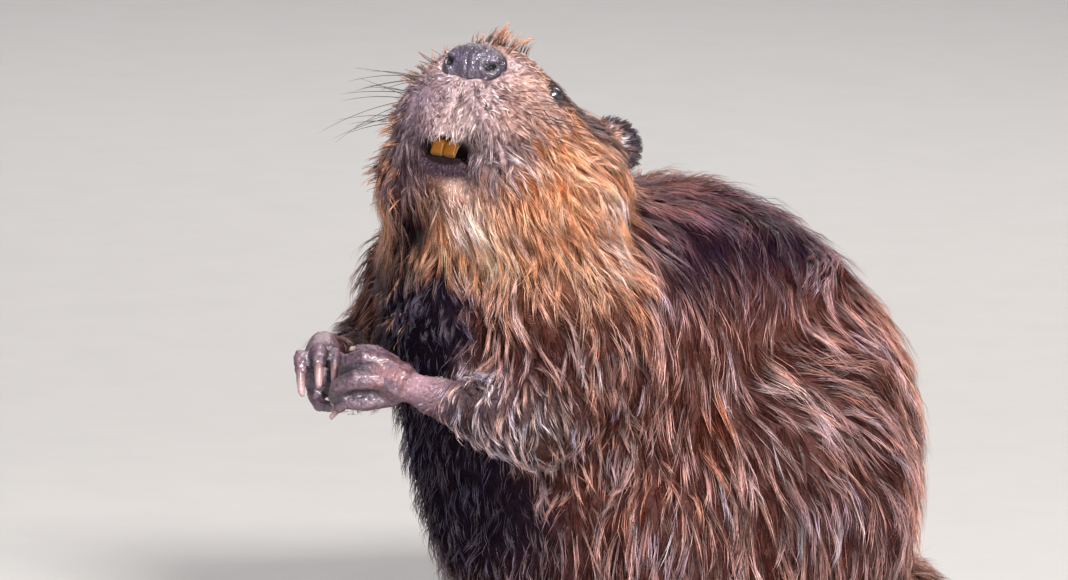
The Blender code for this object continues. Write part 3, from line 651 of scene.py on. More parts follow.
def coat_flow(p, n, w):
    """Unit direction along the skin in which the hair lies."""
    s = np.where(p[:, 0] >= 0, 1.0, -1.0)[:, None]
    q = p * np.concatenate([s, np.ones_like(s), np.ones_like(s)], 1)
    total = unit(sum(unit(row[3:]) / (far(q, row[:3])[:, None] ** 2 + 150) ** 2 for row in LIE))
    middle = smooth(abs(p[:, 0]), 0, 26)[:, None]
    total = total * np.concatenate([s * middle, np.ones_like(s), np.ones_like(s)], 1)
    # head: away from the nose, over the crown and round the cheeks
    f, l, u = head_coords(p)
    away = unit(p - in_head(6, 0, -4))
    on_head = unit(away - 0.55 * F + 0.25 * smooth(-u, 20, 70)[:, None] * np.array([0.2, 0.25, -0.9]))
    chin = bell((f + 40) / 30, l / 34, (u + 78) / 24)[:, None]
    on_head = unit(on_head + 1.2 * chin * np.array([0.1, -0.05, -1.0]))
    total = mix(total, on_head, np.clip(part_weight(w, *HEAD), 0, 1))
    # limbs: along the forearm to the wrist, along the shin to the ankle
    for side, sign in SIDES.items():
        wrist = unit(CLASP - np.array([120 * sign, -255, 165]))
        forearm = np.clip(part_weight(w, "forearm_" + side, "hand_" + side), 0, 1)
        total = mix(total, wrist, forearm * (1 - 0.85 * smooth(far(p, CLASP), 48, 75)))
        ankle = unit([0.05 * sign, -0.75, -0.65])
        total = mix(total, ankle, np.clip(part_weight(w, "shin_" + side, "foot_" + side), 0, 1))
    for size, seed, strength in ((30, 51, 0.20), (11, 54, 0.26)):
        total = total + strength * np.stack([wobble(p, size, seed + k) for k in range(3)], 1)
    total = total - (total * n).sum(1)[:, None] * n
    return unit(total)


# length, rise over the skin, lock radius, hair width (mm), gathering of the lock's tips,
# share of dark hairs, of dark locks, of locks with a painted wet glint, how far locks stray from the lie (radians)
LONG, HIGH, LOCK, WIDE, GATHER, DARK_HAIR, DARK_LOCK, GLINT_LOCK, STRAY = range(9)
COAT = dict(
    trunk=(38, 8.0, 3.3, 0.37, 0.96, 0.30, 0.20, 0.015, 0.16), neck=(34, 9.0, 3.2, 0.38, 0.93, 0.22, 0.16, 0.01, 0.24),
    head=(15, 4.6, 2.0, 0.42, 0.75, 0.12, 0.05, 0.0, 0.2), lower_jaw=(17, 5.0, 2.2, 0.42, 0.75, 0.12, 0.05, 0.0, 0.2),
    tail_root=(20, 5.0, 3.5, 0.55, 0.85, 0.3, 0.1, 0.0, 0.1), upper_arm=(28, 8.5, 3.2, 0.37, 0.95, 0.30, 0.20, 0.03, 0.22),
    forearm=(6.0, 0.8, 1.4, 0.25, 0.45, 0.25, 0.1, 0.0, 0.14), thigh=(38, 9.0, 3.5, 0.37, 0.96, 0.30, 0.20, 0.07, 0.20),
    shin=(15, 5.0, 3.0, 0.5, 0.8, 0.3, 0.1, 0.0, 0.1), hand=(3.0, 0.5, 1.2, 0.3, 0.2, 0.3, 0.0, 0.0, 0.1),
    foot=(4, 0.8, 1.4, 0.4, 0.3, 0.3, 0.0, 0.0, 0.1),
)


def coat_facts(p, w):
    """One row of COAT's columns for each place."""
    facts = by_part(w, COAT)
    f, l, u = head_coords(p)
    al = abs(l)
    # face: longer away from the nose and on the cheeks, short round the eyes
    grown = smooth(far(p, NOSE), 14, 100)
    cheek = grown * smooth(al, 20, 50)
    eye = 1.0
    for s in SIDES.values():
        eye = eye * (0.35 + 0.65 * smooth(far(p, beside(EYE_PLACE, s)), 7, 24))
    muzzle = smooth(f, -36, -16) * (1 - smooth(al + 0.3 * u, 26, 42)) * smooth(u, -66, -56)
    face = np.stack([
        (4.0 + 19.0 * grown + 7 * cheek) * eye + 1.4 * muzzle,
        (0.9 + 4.9 * grown) * eye + 1.0 * muzzle,
        1.2 + 1.6 * grown + 0.8 * muzzle,
        0.30 + 0.09 * grown,
        0.55 + 0.36 * grown + 0.30 * muzzle * (1 - grown),
        0.10 + 0.14 * muzzle,
        0.05 + 0.30 * muzzle,
        0 * grown,
        0.27 + 0.26 * muzzle + 0.14 * cheek,
    ], 1)
    chin = np.clip(1.5 * bell((f + 38) / 26, (l - 10) / 22, (u + 82) / 20), 0, 1)
    face = mix(face, [33.0, 12.0, 3.2, 0.42, 0.94, 0.06, 0.05, 0, 0.16], chin)
    fringe = bell((l - 13) / 10, (u + 47) / 5) * smooth(f, -34, -20)
    face[:, :2] = mix(face[:, :2], [9.0, 2.2], np.clip(fringe * 1.2, 0, 1))
    lip = bell(l / 21, (u + 62) / 9) * smooth(f, -38, -28)
    face = mix(face, [3.4, 1.7, 1.2, 0.34, 0.5, 0.25, 0.05, 0, 0.5], np.clip(lip * 1.5, 0, 1))
    face = mix(face, face * np.array([0.75, 0.7, 0.9, 1, 1, 1.6, 1.5, 1, 1]), smooth(u, 6, 24))
    face[:, :2] *= (0.7 + 0.3 * smooth(far(p, in_head(-12, 0, -62)), 10, 22))[:, None]
    facts = mix(facts, face, np.clip(part_weight(w, *HEAD), 0, 1))
    # the sleeve over wrist and elbow
    reach = far(p, CLASP)
    wrist = part_weight(w, "forearm") * smooth(reach, 50, 82)
    facts = mix(facts, [17.0, 5.5, 2.3, 0.36, 0.93, 0.25, 0.2, 0.0, 0.32], wrist)
    elbow = part_weight(w, "upper_arm") * (1 - smooth(p[:, 2], 185, 215))
    facts = mix(facts, [19.0, 6.5, 2.5, 0.36, 0.94, 0.25, 0.2, 0.02, 0.30], elbow)
    # back: darker; chest: shorter and fluffier; close to the clasped paws: short
    back = smooth(p[:, 2], 205, 258) * smooth(p[:, 1], -175, -110)
    facts[:, DARK_HAIR] += 0.30 * back
    facts[:, DARK_LOCK] += 0.15 * back
    front = part_weight(w, "trunk", "neck") * smooth(-p[:, 1], 175, 230) * (1 - smooth(p[:, 2], 255, 285))
    facts = mix(facts, [13.0, 7.5, 2.6, 0.5, 0.75, 0.4, 0.2, 0.0, 0.45], np.clip(front, 0, 1) * 0.9)
    facts[:, :2] *= (0.35 + 0.65 * smooth(reach, 45, 85))[:, None]
    return facts


class Surface:
    """A mesh that hair grows on, in mm."""

    def __init__(self, ob):
        self.ob = ob
        self.p, self.n, self.t = points_of(ob), normals_of(ob), triangles_of(ob.data)
        self.kd = tree(self.p)
        a, b, c = (self.p[self.t[:, k]] for k in range(3))
        self.area = np.linalg.norm(np.cross(b - a, c - a), axis=1) / 2

    def scatter(self, weight, count, rng):
        """count random places: triangle and its three weights."""
        chance = self.area * weight[self.t].mean(1)
        i = rng.choice(len(self.t), count, p=chance / chance.sum())
        return i, within_triangles(count, rng)

    def at(self, values, place):
        i, b = place
        v = values[self.t[i]]
        return (v * (b[:, :, None] if v.ndim == 3 else b)).sum(1)


DOWN = np.array([0.0, 0.0, -1.0])
RINGS = 4  # points along a lock's path
BAKE_PATCH = 0.003  # one tuft's share of the OFBake map


def turned(way, n, angle):
    return way * np.cos(angle)[:, None] + np.cross(n, way) * np.sin(angle)[:, None]


def lock_paths(surface, flow, place, facts, rng, stand, slack):
    """Path of each lock over the surface: RINGS points, the first at the root."""
    root, n = surface.at(surface.p, place), unit(surface.at(surface.n, place))
    veer = rng.normal(0, 1, len(root)) * facts[:, STRAY]
    way = turned(unit(surface.at(flow, place)), n, veer)
    length, rise = facts[:, LONG] * rng.uniform(0.75, 1.2, len(root)), facts[:, HIGH]
    high = rise * rng.uniform(0.45, 1.05, len(root))
    step = (length / (RINGS - 1))[:, None]
    heading = unit(way * (1 - 0.45 * stand[:, None]) + n * (0.30 + 1.1 * stand[:, None]))
    path = [root]
    at = root
    lift = (0.55, 1.0, 1.0)
    for k in range(RINGS - 1):
        at = at + heading * step
        i = nearest(surface.kd, at)
        nn = surface.n[i]
        h = ((at - surface.p[i]) * nn).sum(1)
        want = high * lift[k] * (1 + 1.2 * stand)
        keep = np.where(h > want, want + (h - want) * np.clip(slack + 0.75 * stand, 0, 1), want)
        at = at + nn * (keep - h)[:, None]
        went = unit(at - path[-1])
        path.append(at)
        drop = (0.10 + 0.25 * slack) * (1 - stand[:, None])
        heading = unit(turned(flow[i], nn, 0.5 * veer) * (1 - 0.6 * stand[:, None]) + 0.55 * went + drop * DOWN)
    return np.stack(path, 1)


def strands(path, wide, n):
    """A closed three-sided prism along each path, coming to a point: points, one prism's triangles, each point's step."""
    count, steps = path.shape[:2]
    ahead = unit(np.concatenate([path[:, 1:] - path[:, :-1], path[:, -1:] - path[:, -2:-1]], 1))
    across = unit(np.cross(ahead, n[:, None]))
    up = np.cross(across, ahead)
    half = (wide[:, None] * np.array([0.85, 1.0, 0.72])[: steps - 1])[..., None] / 2
    c, a, v = path[:, :-1], across[:, :-1], up[:, :-1]
    ring = np.stack([c + a * half - v * half * 0.35, c - a * half - v * half * 0.35, c + v * half * 0.75], 2)
    points = np.concatenate([ring.reshape(count, 3 * (steps - 1), 3), path[:, -1:]], 1)
    points[..., 2] = np.maximum(points[..., 2], 0.1)
    last = 3 * (steps - 2)
    tri = [(0, 1, 2)]
    for b in range(0, last, 3):
        for k in range(3):
            j = (k + 1) % 3
            tri += [(b + k, b + 3 + k, b + j), (b + j, b + 3 + k, b + 3 + j)]
    tri += [(last + k, last + 3, last + (k + 1) % 3) for k in range(3)]
    return points, np.array(tri), np.repeat(np.arange(steps), [3] * (steps - 1) + [1])


def hairs(name, surface, flow, facts, weight, count, seed, colours, mat, stand=0.0, slack=0.25, loose=0.10,
          tip_light=1.45, contrast=1.0, lock_share=1.0, low_share=0.58, low_tone=0.16, lean=0.55, short=False, hue=1.0):
    """A coat piece: count tapered hairs gathered in locks, one closed prism each.

    stand: how far hair stands up; slack: how far it may leave the skin; loose: share of single hairs;
    low_share, low_tone: share and paleness of the low locks; lean: how far locks lean together;
    short: fewer rings and a lighter root; hue: how far locks differ between rust and lilac.
    """
    rng = np.random.default_rng(seed)
    everywhere = np.ones(len(surface.p))
    stand, hue = stand * everywhere, hue * everywhere
    lock_area = math.pi * facts[:, LOCK] ** 2
    covered = (surface.area * weight[surface.t].mean(1) / lock_area[surface.t].mean(1)).sum()
    locks = max(40, int(covered * 1.25 * lock_share))
    lock_place = surface.scatter(weight / lock_area, locks, rng)
    lock_facts = surface.at(facts, lock_place)
    lock_low = rng.random(locks) < low_share
    lock_dark = rng.random(locks) < lock_facts[:, DARK_LOCK]
    drift = smooth(wobble(surface.at(surface.p, lock_place), 45, 33), 0.1, 0.6) * 3.0
    # locks that take the painted glint colour
    lock_glint = (rng.random(locks) < lock_facts[:, GLINT_LOCK] * drift) & ~lock_low
    sized = np.ones((locks, 9))
    sized[:, :2] = np.where(lock_low[:, None], [0.62, 0.40], [1.08, 1.05])
    path = lock_paths(surface, flow, lock_place, lock_facts * sized, rng, surface.at(stand, lock_place), slack)
    # neighbouring locks lean together into larger pointed ones
    t = np.linspace(0, 1, RINGS)
    chiefs = np.flatnonzero(rng.random(locks) < 0.10)
    chief = chiefs[nearest(tree(path[chiefs, 0]), path[:, 0])]
    apart = path[:, 0] - path[chief, 0]
    apart[np.linalg.norm(apart, axis=1) > 5 * lock_facts[:, LOCK]] *= 0.3
    path = path - apart[:, None] * (lean * t ** 1.4)[None, :, None]
    lock_tone, lock_side, lock_hue = (
        rng.normal(0, own, locks) + rng.normal(0, shared, locks)[chief]
        for own, shared in ((0.8, 0.6), (0.6, 0.8), (0.7, 0.8)))

    place = surface.scatter(weight, count, rng)
    root = surface.at(surface.p, place)
    n = unit(surface.at(surface.n, place))
    mine = nearest(tree(path[:, 0]), root)
    low = lock_low[mine]
    fact = surface.at(facts, place)
    gather = fact[:, GATHER] * rng.uniform(0.75, 1.1, locks)[mine] * rng.uniform(0.92, 1.06, count) * np.where(low, 0.6, 1.0)
    gather = np.clip(gather, 0, 0.97)
    free = (rng.random(count) < loose) & ~low
    gather[free] *= 0.25
    scale = rng.uniform(0.66, 1.06, count)
    scale[free] *= 1.12
    offset = root - path[mine, 0]
    gather[np.linalg.norm(offset, axis=1) > 2.4 * fact[:, LOCK]] *= 0.2
    run = path[mine] - path[mine, :1]
    ease = np.array([0, 0.56, 0.90, 1.0])
    centre = root[:, None] + run * scale[:, None, None] - offset[:, None] * gather[:, None, None] * ease[None, :, None]
    side = unit(np.cross(run[:, 1] + 1e-6, n))
    bend = (lock_side[mine] * 0.08 + rng.normal(0, 0.03, count)) * fact[:, LONG]
    bend[free] *= 2.2
    layer = rng.uniform(-0.35, 0.2, count) * fact[:, HIGH]
    layer = np.where(free, abs(layer) * 0.9, layer)
    centre = centre + side[:, None] * (bend[:, None] * t ** 2)[..., None] + n[:, None] * (layer[:, None] * t)[..., None]
    centre[:, 0] -= n * 0.5
    wide = fact[:, WIDE] * rng.uniform(0.7, 1.15, count) * np.where(low, 1.35, 0.95)
    wide = np.where(free, wide * 0.65, wide)

    # colour: dark at the root, the guard colour towards the tip; the low locks keep to the under colour
    under, guard = surface.at(colours[0], place), surface.at(colours[1], place)
    guard = mix(guard, under * 1.1 + guard * 0.12, 0.9 * lock_dark[mine])
    # painted highlight: the glint locks turn pale
    guard = mix(guard, GLINT, 0.6 * lock_glint[mine])
    shade = np.where(rng.random(count) < fact[:, DARK_HAIR], rng.uniform(0.05, 0.35, count), rng.uniform(0.55, 1.3, count))
    top = guard * shade[:, None] + under * (0.8 * np.clip(1 - shade, 0, 1))[:, None]
    deep = under * rng.uniform(0.4, 1.4, count)[:, None] + guard * (low_tone * rng.random(count) ** 2)[:, None]
    tone = np.exp(rng.normal(0, 0.14, count) + 0.14 * contrast * lock_tone[mine])
    body = np.where(low[:, None], deep, top) * tone[:, None]
    tint = surface.at(hue, place) * (lock_hue[mine] + rng.normal(0, 0.35, count))
    body = body * np.exp(tint[:, None] * np.array([0.03, -0.09, -0.22]))

    ps, fs, tones, wet, maps, at = [], [], [], [], [], 0
    plain = low | short
    spread = unrolled(root)
    for chosen, steps in ((plain, RINGS - 1), (~plain, RINGS)):
        if not chosen.any():
            continue
        c = centre[chosen]
        if steps < RINGS:
            c = np.stack([c[:, 0], (c[:, 1] + c[:, 2]) / 2, c[:, 3]], 1)
        points, tri, step = strands(c, wide[chosen], n[chosen])
        along = step / (steps - 1)
        rooty = np.interp(along, t, [0.95, 0.45 if short else 0.7, 0.0 if short else 0.25, 0.0])[None, :, None]
        bright = np.interp(along, t, [0.55, 0.85, 1.1, tip_light])[None, :, None]
        tones.append(((under[chosen][:, None] * rooty + body[chosen][:, None] * (1 - rooty)) * bright).reshape(-1, 3))
        wet.append(np.repeat(np.where(low, 0.0, 1.0)[chosen], points.shape[1]))
        local = np.stack([np.where(step < steps - 1, np.arange(len(step)) % 3 / 2, 0.5), along], 1) * BAKE_PATCH
        maps.append((spread[chosen][:, None] + local[None])[:, tri].reshape(-1, 2))
        fs.append(((np.arange(len(c)) * points.shape[1])[:, None, None] + tri[None] + at).reshape(-1, 3))
        ps.append(points.reshape(-1, 3))
        at += len(ps[-1])
    ob = mesh_object(name, np.concatenate(ps), np.concatenate(fs))
    attribute(ob, "Tone", np.clip(np.concatenate(tones), 0, 1))
    attribute(ob, "Wet", np.concatenate(wet))
    layer = ob.data.uv_layers.new(name="OFBake")
    layer.data.foreach_set("uv", np.concatenate(maps).astype(np.float32).ravel())
    ob.data.materials.append(mat)
    return ob


def unrolled(root):
    """Where each root falls on the part's own surface, unrolled round its long axis into the unit square."""
    centre = root.mean(0)
    _, _, axes = np.linalg.svd((root - centre)[:: max(1, len(root) // 4000)], full_matrices=False)
    q = (root - centre) @ axes.T
    u = (np.arctan2(q[:, 2], q[:, 1]) / (2 * math.pi) + 0.5) * 0.99 + 0.002
    v = (q[:, 0] - q[:, 0].min()) / (np.ptp(q[:, 0]) + 1e-9) * 0.99 + 0.002
    return np.stack([u, v], 1)


# ---------------------------------------------------------------- materials
def material(name, rough=0.5, specular=0.5, **sockets):
    m = bpy.data.materials.new(name)
    m.use_nodes = True
    nt = m.node_tree
    b = nt.nodes["Principled BSDF"]
    b.inputs["Roughness"].default_value = rough
    b.inputs["Specular IOR Level"].default_value = specular
    for k, v in sockets.items():
        b.inputs[k.replace("_", " ")].default_value = v
    return m, nt, b


def node(nt, kind, inputs=None, **props):
    n = nt.nodes.new(kind)
    for k, v in props.items():
        setattr(n, k, v)
    for k, v in (inputs or {}).items():
        if hasattr(v, "is_output"):
            nt.links.new(v, n.inputs[k])
        else:
            n.inputs[k].default_value = v
    return n


def wire(nt, bsdf, **outputs):
    for k, v in outputs.items():
        nt.links.new(v, bsdf.inputs[k.replace("_", " ")])


def ramp(nt, fac, stops):
    r = node(nt, "ShaderNodeValToRGB", {0: fac})
    e = r.color_ramp.elements
    while len(e) < len(stops):
        e.new(0.5)
    for el, (at, c) in zip(e, stops):
        el.position = at
        el.color = (*c, 1) if np.ndim(c) else (c, c, c, 1)
    return r.outputs[0]


def times(nt, a, b):
    return node(nt, "ShaderNodeMix", {0: 1.0, 6: a, 7: b}, data_type="RGBA", blend_type="MULTIPLY").outputs[2]


def bumped(nt, bsdf, height, strength, distance, under=None):
    """A bump on the surface, over an earlier one if there is one."""
    below = {} if under is None else {"Normal": under}
    b = node(nt, "ShaderNodeBump", {"Height": height, "Strength": strength, "Distance": distance * MM, **below})
    wire(nt, bsdf, Normal=b.outputs[0])
    return b.outputs[0]


def texture(nt, kind, size_mm, inputs, **props):
    """A texture laid out in the piece's own coordinates, with grains about size_mm across."""
    place = node(nt, "ShaderNodeTexCoord").outputs["Object"]
    return node(nt, kind, {"Vector": place, "Scale": 1 / (size_mm * MM), **inputs}, **props)


def place_noise(nt, size_mm, detail=4.0, rough=0.6):
    return texture(nt, "ShaderNodeTexNoise", size_mm, {"Detail": detail, "Roughness": rough}).outputs[0]


def attribute_of(nt, name, output="Fac"):
    return node(nt, "ShaderNodeAttribute", attribute_name=name).outputs[output]


def between(nt, fac, low, high):
    """low where fac is 0, high where it is 1."""
    return node(nt, "ShaderNodeMapRange", {0: fac, 3: low, 4: high}).outputs[0]


def pebbles(nt, size_mm):
    return texture(nt, "ShaderNodeTexVoronoi", size_mm, {}, feature="DISTANCE_TO_EDGE").outputs["Distance"]


def toned(name, rough, specular, noise, stops, **sockets):
    """A material coloured by the piece's own Tone, mottled by a noise (size in mm, detail, roughness)."""
    m, nt, b = material(name, rough, specular, **sockets)
    mottle = ramp(nt, place_noise(nt, *noise), stops)
    wire(nt, b, Base_Color=times(nt, attribute_of(nt, "Tone", "Color"), mottle))
    return m, nt, b


def fur_material(name, rough, specular):
    m, nt, b = toned(name, rough, specular, (2.2, 3), [(0.28, 0.72), (0.72, 1.18)])
    wet = attribute_of(nt, "Wet")
    wire(nt, b, Roughness=between(nt, wet, 0.62, rough), Specular_IOR_Level=between(nt, wet, 0.0, specular))
    bumped(nt, b, place_noise(nt, 0.5, 2), 0.25, 0.15)
    return m


def skin_material():
    m, nt, b = toned("skin", 0.6, 0.45, (1.9, 5, 0.75), [(0.28, 0.55), (0.58, 1.05), (0.70, 2.3)],
                     Specular_Tint=(0.95, 0.80, 1.0, 1), Coat_Roughness=0.22)
    # bare hide is glossier than the skin under the fur
    bare, grain = attribute_of(nt, "Bare"), place_noise(nt, 1.5, 3)
    rough = node(nt, "ShaderNodeMath", {0: grain, 1: grain, 2: between(nt, bare, 0.68, 0.30)}, operation="MULTIPLY_ADD")
    wire(nt, b, Roughness=rough.outputs[0], Specular_IOR_Level=bare, Coat_Weight=times(nt, bare, (0.35, 0.35, 0.35, 1)))
    cells = node(nt, "ShaderNodeMath", {0: pebbles(nt, 1.3), 1: bare}, operation="MULTIPLY").outputs[0]
    first = bumped(nt, b, place_noise(nt, 1.1, 5, 0.75), 0.55, 0.5)
    bumped(nt, b, cells, 0.55, 0.5, first)
    return m


def simple(name, colour, rough, specular, size_mm, spread, bump):
    """A material with mottled colour and a matching bump."""
    m, nt, b = material(name, rough, specular)
    n = place_noise(nt, size_mm, 5, 0.65)
    c = np.asarray(colour, float)
    stops = [(0.25, c * (1 - spread)), (0.5, c), (0.78, np.clip(c * (1 + spread), 0, 1))]
    wire(nt, b, Base_Color=ramp(nt, n, stops))
    bumped(nt, b, n, bump, 0.3)
    return m


def placed(ob, slot, *nodes):
    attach(ob, "root")
    if nodes:
        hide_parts(*nodes)


def painted(ob, tone, mat):
    attribute(ob, "Tone", np.clip(tone, 0, 1))
    ob.data.materials.append(mat)


# ---------------------------------------------------------------- the animal
skin, W = make_skin()
skin_surface = Surface(skin)
P, N = skin_surface.p, skin_surface.n
E = edges_of(skin)
RIDGE = np.clip(relaxed(((P - relaxed(P, E, 30)) * N).sum(1), E, 2) / 0.28, -1.8, 1.8)
UNDER, GUARD = markings(P, W)
painted(skin, skin_colour(P, N, W, UNDER, GUARD, RIDGE), skin_material())
attribute(skin, "Bare", np.clip(part_weight(W, "hand", "foot") * 1.3 - 0.15, 0, 1))
placed(skin, "fur", *FLESH)

FLOW = coat_flow(P, N, W)
FACTS = coat_facts(P, W)

# ---------------------------------------------------------------- camera and lamps
# the photograph's side and height (degrees), and the aim from the middle of the CAD box (m)
CAMERA_AZIMUTH, CAMERA_ELEVATION = 62.0, 8.0
AIM_ACROSS, AIM_RISE, AIM_TOWARD = -0.1606, 0.0226, 0.1725
DISTANCE, FRAME_WIDTH = 8.0, 0.6194  # m
SENSOR = 36  # mm


def make_camera():
    a, e = math.radians(CAMERA_AZIMUTH), math.radians(CAMERA_ELEVATION)
    across = Vector((math.cos(a), math.sin(a), 0))
    toward = Vector((math.sin(a) * math.cos(e), -math.cos(a) * math.cos(e), math.sin(e)))
    rise = toward.cross(across)
    aim = (CAD_BOX[0] + CAD_BOX[1]) / 2 + across * AIM_ACROSS + rise * AIM_RISE + toward * AIM_TOWARD
    cam = aimed("camera", bpy.data.cameras.new("camera"), aim + toward * DISTANCE, -toward)
    cam.data.sensor_width = SENSOR
    cam.data.lens = SENSOR * DISTANCE / FRAME_WIDTH
    cam.data.clip_end = 100
    bpy.context.scene.camera = cam
    return aim, across, rise, toward


AIM, ACROSS, RISE, TOWARD = make_camera()
# each lamp's place across, up and towards the camera from the aim (m), size (m), watts, colour, and where it points
LAMPS = dict(
    key=((0.75, 1.25, 2.2), 0.5, 155, (1.0, 0.96, 0.90), (0, 0, 0)),
    bounce=((0.4, -0.3, 2.4), 0.8, 50, (1.0, 0.96, 0.90), (0, 0, 0)),
    top=((-0.5, 2.6, 0.4), 0.9, 30, (1.0, 0.98, 0.96), (0, 0, 0)),
    fill=((-1.7, 0.3, 1.7), 1.8, 16, (0.80, 0.86, 1.0), (0, 0, 0)),
    rim=((0.9, 1.9, -1.6), 1.2, 22, (1.0, 0.92, 0.84), (0, 0, 0)),
    behind=((0, 1.9, -2.7), 2.2, 40, (1.0, 0.97, 0.94), (0, -0.8, -3.1)),
)
FLOOR_HALF = 15000  # mm


def studio():
    for name, (place, size, watts, colour, aim) in LAMPS.items():
        data = bpy.data.lights.new(name, "AREA")
        data.energy, data.size, data.color = watts, size, colour
        start, end = (AIM + ACROSS * a + RISE * r + TOWARD * t for a, r, t in (place, aim))
        aimed(name, data, start, end - start)
    world = bpy.data.worlds.new("world")
    bpy.context.scene.world = world
    world.use_nodes = True
    sky = world.node_tree.nodes["Background"]
    sky.inputs[0].default_value = (0.88, 0.87, 1.0, 1)
    sky.inputs[1].default_value = 0.26
    corners = [(x * FLOOR_HALF, y * FLOOR_HALF, 0) for x, y in ((-1, -1), (1, -1), (1, 1), (-1, 1))]
    floor = mesh_object("floor", corners, [[0, 1, 2, 3]])
    floor.data.materials.append(simple("floor", (0.42, 0.415, 0.41), 0.8, 0.2, 60, 0.03, 0.05))
    bpy.context.scene.view_settings.view_transform = "Standard"


studio()


# ---------------------------------------------------------------- coat pieces
def coat():
    soft, face_fur = fur_material("coat_fur", 0.33, 0.55), fur_material("face_fur", 0.46, 0.38)
    f, l, u = head_coords(P)
    # no hair in the mouth, on the nose and eyes, on bare hide and between the hands
    cave = (((f + 10) / 13) ** 2 + (l / 17) ** 2 + ((u + 54) / 7.6) ** 2) < 1.0
    nose = 1 - smooth((l / 17.5) ** 2 + ((u + 1) / 12.0) ** 2 + (np.minimum(f + 6, 0) / 12) ** 2, 0.85, 1.15)
    eyeballs = np.clip(sum(near(P, eye_frame(s)[0], EYE_R + 1.6, EYE_R + 3) for s in SIDES), 0, 1)
    clasped = near(P, CLASP + [10, 6, 0], 36, 44)
    open_skin = (1 - part_weight(W, "hand", "foot")) * (1 - clasped) * (1 - nose) * (1 - eyeballs) * (1 - cave)
    open_skin = np.clip(open_skin, 0, 1)

    def piece(name, region, count, seed, mat=soft, **more):
        placed(hairs(name, skin_surface, FLOW, FACTS, open_skin * region, count, seed, (UNDER, GUARD), mat, **more), "fur")

    def parts(*names):
        return part_weight(W, *names)

    left, face_left, front = smooth(P[:, 0], -4, 4), smooth(l, -3, 3), smooth(-P[:, 1], 60, 62)
    muzzle = smooth(f, -44, -22) * (1 - smooth(abs(l) + 0.3 * u, 30, 46))
    dense = 1.0 + 1.6 * (1 - smooth(far(P, NOSE), 30, 80))
    face = np.clip(parts(*HEAD), 0, 1)
    for side, half, count, seed in (("left", face_left, 16500, 1), ("right", 1 - face_left, 13500, 2)):
        piece("coat_face_" + side, face * half * dense, count, seed, face_fur, slack=0.5, contrast=1.4, loose=0.2,
              short=True, low_share=0.36, low_tone=0.45, lean=0.45, hue=1 - 0.75 * muzzle, tip_light=1.35)
    piece("coat_neck", parts("neck"), 13500, 3, slack=0.35, contrast=1.5, low_share=0.52)
    piece("coat_trunk_front", parts("trunk") * front, 11500, 4, contrast=1.4)
    piece("coat_trunk_left", parts("trunk") * (1 - front) * left, 12500, 5, contrast=1.6)
    piece("coat_trunk_right", parts("trunk") * (1 - front) * (1 - left), 9500, 6, contrast=1.4)
    # the right arm's hair keeps clear of the hands and of the elbow's inside
    clear = (1 - near(P, CLASP, 48, 62)) * (1 - 0.9 * near(P, [-86, -249, 148], 24, 50))
    limbs = ("left", 11500, 12000, 1 + parts("forearm_left")), ("right", 8625, 6750, clear)
    for k, (side, thigh_hairs, arm_hairs, share) in enumerate(limbs):
        piece("coat_thigh_" + side, parts("thigh_" + side, "shin_" + side), thigh_hairs, 7 + k, contrast=1.6)
        piece("coat_arm_" + side, parts("upper_arm_" + side, "forearm_" + side) * share, arm_hairs, 9 + k, contrast=1.5)
    piece("coat_tail_root", parts("tail_root"), 1500, 11)
    # wet spikes that stand up on the brow and the far cheek
    brow = smooth(u, 10, 17) * smooth(f, -34, -20) * (1 - smooth(f, -8, 2)) * (1 - smooth(abs(l - 2), 10, 17))
    far_cheek = smooth(-l, 24, 44) * smooth(f, -80, -30) * smooth(u, -75, -55)
    far_cheek = np.maximum(far_cheek, 0.3 * smooth(-P[:, 0], -30, 10) * parts("neck"))
    spiky = np.clip(brow + 0.6 * far_cheek, 0, 1) * smooth(wobble(P, 8, 61), 0.0, 0.6)
    one = np.ones((len(P), 1))
    facts = np.array([7.6, 6.0, 2.0, 0.60, 0.99, 0.3, 0, 0, 0.12]) * one
    tips = np.array([0.06, 0.026, 0.022]) * one, np.array([0.46, 0.19, 0.10]) * one
    placed(hairs("coat_spikes", skin_surface, FLOW, facts, open_skin * spiky, 1100, 12, tips, soft, stand=0.8 * one[:, 0],
                 slack=0.9, loose=0.03, lock_share=0.5, low_share=0.0, lean=0.0), "fur")


coat()


